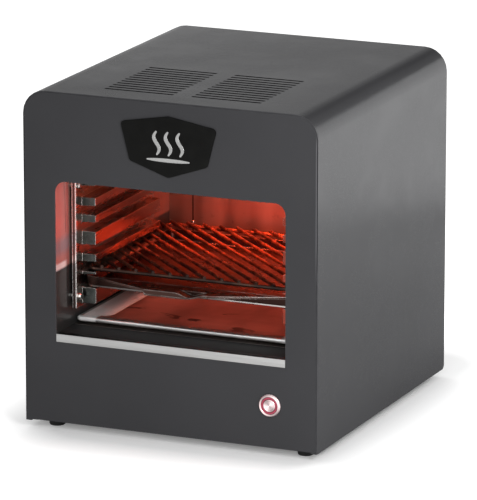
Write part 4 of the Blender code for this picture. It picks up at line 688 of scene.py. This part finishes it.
def smooth_faces():
    group = bpy.data.node_groups.new("smooth_faces", "GeometryNodeTree")
    group.interface.new_socket("Geometry", in_out="INPUT", socket_type="NodeSocketGeometry")
    group.interface.new_socket("Geometry", in_out="OUTPUT", socket_type="NodeSocketGeometry")
    kinds = ("NodeGroupInput", "GeometryNodeMergeByDistance", "GeometryNodeRemoveAttribute",
             "GeometryNodeSetShadeSmooth", "GeometryNodeSetShadeSmooth", "NodeGroupOutput")
    chain = [group.nodes.new(kind) for kind in kinds]
    for first, second in zip(chain, chain[1:]):
        group.links.new(first.outputs[0], second.inputs[0])
    weld, forget, faces, edges = chain[1:5]
    weld.inputs["Distance"].default_value = WELD
    forget.inputs["Name"].default_value = "custom_normal"
    faces.domain = "FACE"
    edges.domain = "EDGE"
    angle = group.nodes.new("GeometryNodeInputMeshEdgeAngle")
    gentle = group.nodes.new("FunctionNodeCompare")
    gentle.data_type = "FLOAT"
    gentle.operation = "LESS_THAN"
    gentle.inputs["B"].default_value = SMOOTH_ANGLE
    group.links.new(angle.outputs["Unsigned Angle"], gentle.inputs["A"])
    group.links.new(gentle.outputs["Result"], edges.inputs["Shade Smooth"])
    return group


smoothing = smooth_faces()
for part in frame["record"]["subparts"]:
    piece = nodes[part["node"]]
    piece.data.materials.clear()
    piece.data.materials.append(NODE_FINISHES.get(part["node"], SLOT_FINISHES[part["material_slot"]]))
    piece.modifiers.new("smooth_faces", "NODES").node_group = smoothing


# Floor and world
FLOOR_SIZE = 12.0
FOOTPRINT = ((X, 0.015, 0.116), (Y, 0.034, 0.186))     # middle and reach, round which the shadow fades
FADE = (0.040, 0.140)              # distances from the footprint between which the floor turns white
FLOOR_GLOW = (0.02, 0.70)
SHADOW_LIFT_DEPTH = (-0.158, 0.006, 0.016)        # place, reach and softness of the strip under the front where painted light lightens the shadow
SHADOW_LIFT_WIDTH = (0.0, 0.145, 0.020)
SHADOW_LIFT = 0.21
WORLD_LIGHT = 0.50


def seen_rays(tree):
    """1 for rays that the camera sends, also by way of a mirror or a clear piece, 0 for light."""
    path = tree.nodes.new("ShaderNodeLightPath")
    seen = path.outputs["Is Camera Ray"]
    for name in ("Is Glossy Ray", "Is Transmission Ray"):
        either = tree.nodes.new("ShaderNodeMath")
        either.operation = "MAXIMUM"
        tree.links.new(seen, either.inputs[0])
        tree.links.new(path.outputs[name], either.inputs[1])
        seen = either.outputs[0]
    return seen


def make_floor():
    """Pale floor that keeps the shadow near the grill and turns to the white background further off."""
    mesh = bpy.data.meshes.new("floor")
    bm = bmesh.new()
    bmesh.ops.create_grid(bm, x_segments=1, y_segments=1, size=FLOOR_SIZE)
    bm.to_mesh(mesh)
    bm.free()
    floor = bpy.data.objects.new("floor", mesh)
    scene.collection.objects.link(floor)
    finish = Finish("pale_floor", (0.90, 0.90, 0.90), 0.9, specular=0.1)
    seen = seen_rays(finish.tree)
    outside = []
    for index, middle, reach in FOOTPRINT:
        beyond = finish.maths("SUBTRACT", finish.off(finish.axis(index), middle), reach)
        outside.append(finish.maths("POWER", finish.maths("MAXIMUM", beyond, 0.0), 2.0))
    distance = finish.maths("SQRT", finish.maths("ADD", *outside))
    away = finish.spread(distance, *FADE, *FLOOR_GLOW)
    # Glow added in a strip under the front: painted light that lightens the shadow there.
    shadow_lift = finish.times(finish.near(finish.axis(Y), *SHADOW_LIFT_DEPTH), finish.near(finish.axis(X), *SHADOW_LIFT_WIDTH))
    away = finish.maths("MULTIPLY_ADD", shadow_lift, SHADOW_LIFT, away)
    finish.set("Emission Color", (*WHITE, 1.0))
    finish.to(finish.times(seen, away), "Emission Strength")
    mesh.materials.append(finish.material)


def make_world():
    """White behind everything that is seen or mirrored, a softer grey as a source of light."""
    world = bpy.data.worlds.new("studio")
    scene.world = world
    world.use_nodes = True
    tree = world.node_tree
    background = tree.nodes["Background"]
    background.inputs["Color"].default_value = (*WHITE, 1.0)
    seen = seen_rays(tree)
    strength = tree.nodes.new("ShaderNodeMapRange")
    strength.inputs["To Min"].default_value = WORLD_LIGHT
    strength.inputs["To Max"].default_value = 1.0
    tree.links.new(seen, strength.inputs["Value"])
    tree.links.new(strength.outputs["Result"], background.inputs["Strength"])


# Lamps and camera
ALL_ROUND = 180.0
LAMPS = (    # name, place, aim, size, watts, colour, spread in degrees
    ("soft_top", (-0.15, 0.60, 1.20), (0.0, 0.05, 0.36), (0.9, 0.9), 2.6, WHITE, ALL_ROUND),
    ("soft_right", (0.58, 0.78, 0.30), (0.165, 0.0, 0.21), (0.5, 0.54), 4.9, WHITE, ALL_ROUND),
    ("soft_front", (0.2, -2.1, 1.2), (0.0, -0.18, 0.2), (1.2, 1.2), 10.6, WHITE, ALL_ROUND),
    ("soft_near", (0.75, -0.85, 0.50), (0.1, -0.18, 0.2), (0.4, 0.4), 8.4, WHITE, ALL_ROUND),
    ("heater_down", (0.0, 0.02, 0.268), (0.0, 0.02, 0.0), (0.20, 0.12), 2.2, (1.0, 0.085, 0.025), 75.0),
    ("heater_back", (0.0, -0.13, 0.262), (0.05, 0.11, 0.175), (0.18, 0.03), 0.175, (1.0, 0.085, 0.03), 100.0),
    ("heater_left", (0.05, -0.150, 0.262), (-0.1235, -0.168, 0.215), (0.03, 0.03), 0.036,
     (1.0, 0.10, 0.06), 60.0),
    ("heater_bounce", (0.0, 0.00, 0.144), (0.0, 0.00, 0.0), (0.24, 0.20), 0.17, (1.0, 0.38, 0.30), 75.0),
)
CAMERA_PLACE = (2.094, -4.847, 1.5082)
CAMERA_AIM = (-0.0003, 0.0, 0.1671)
CAMERA_REACH = 100.0
SENSOR = 36.0
FOCAL_PIXELS = 5140.0
IMAGE_PIXELS = 500.0               # the image's longer side


def aimed(place, aim):
    """Rotation of a lamp or camera that looks from one place to another."""
    return (Vector(aim) - Vector(place)).to_track_quat("-Z", "Y").to_euler()


def area_lamp(name, place, aim, size, watts, colour, spread):
    lamp = bpy.data.lights.new(name, "AREA")
    lamp.shape = "RECTANGLE"
    lamp.size, lamp.size_y = size
    lamp.energy = watts
    lamp.color = colour
    lamp.spread = math.radians(spread)
    holder = bpy.data.objects.new(name, lamp)
    holder.location = place
    holder.rotation_euler = aimed(place, aim)
    scene.collection.objects.link(holder)


def make_camera():
    camera = bpy.data.objects.new("camera", bpy.data.cameras.new("camera"))
    camera.data.sensor_width = SENSOR
    camera.data.lens = FOCAL_PIXELS * SENSOR / IMAGE_PIXELS
    camera.data.clip_end = CAMERA_REACH
    camera.location = CAMERA_PLACE
    camera.rotation_euler = aimed(CAMERA_PLACE, CAMERA_AIM)
    scene.collection.objects.link(camera)
    scene.camera = camera


make_camera()
make_floor()
make_world()
for lamp in LAMPS:
    area_lamp(*lamp)

scene.view_settings.view_transform = "Standard"
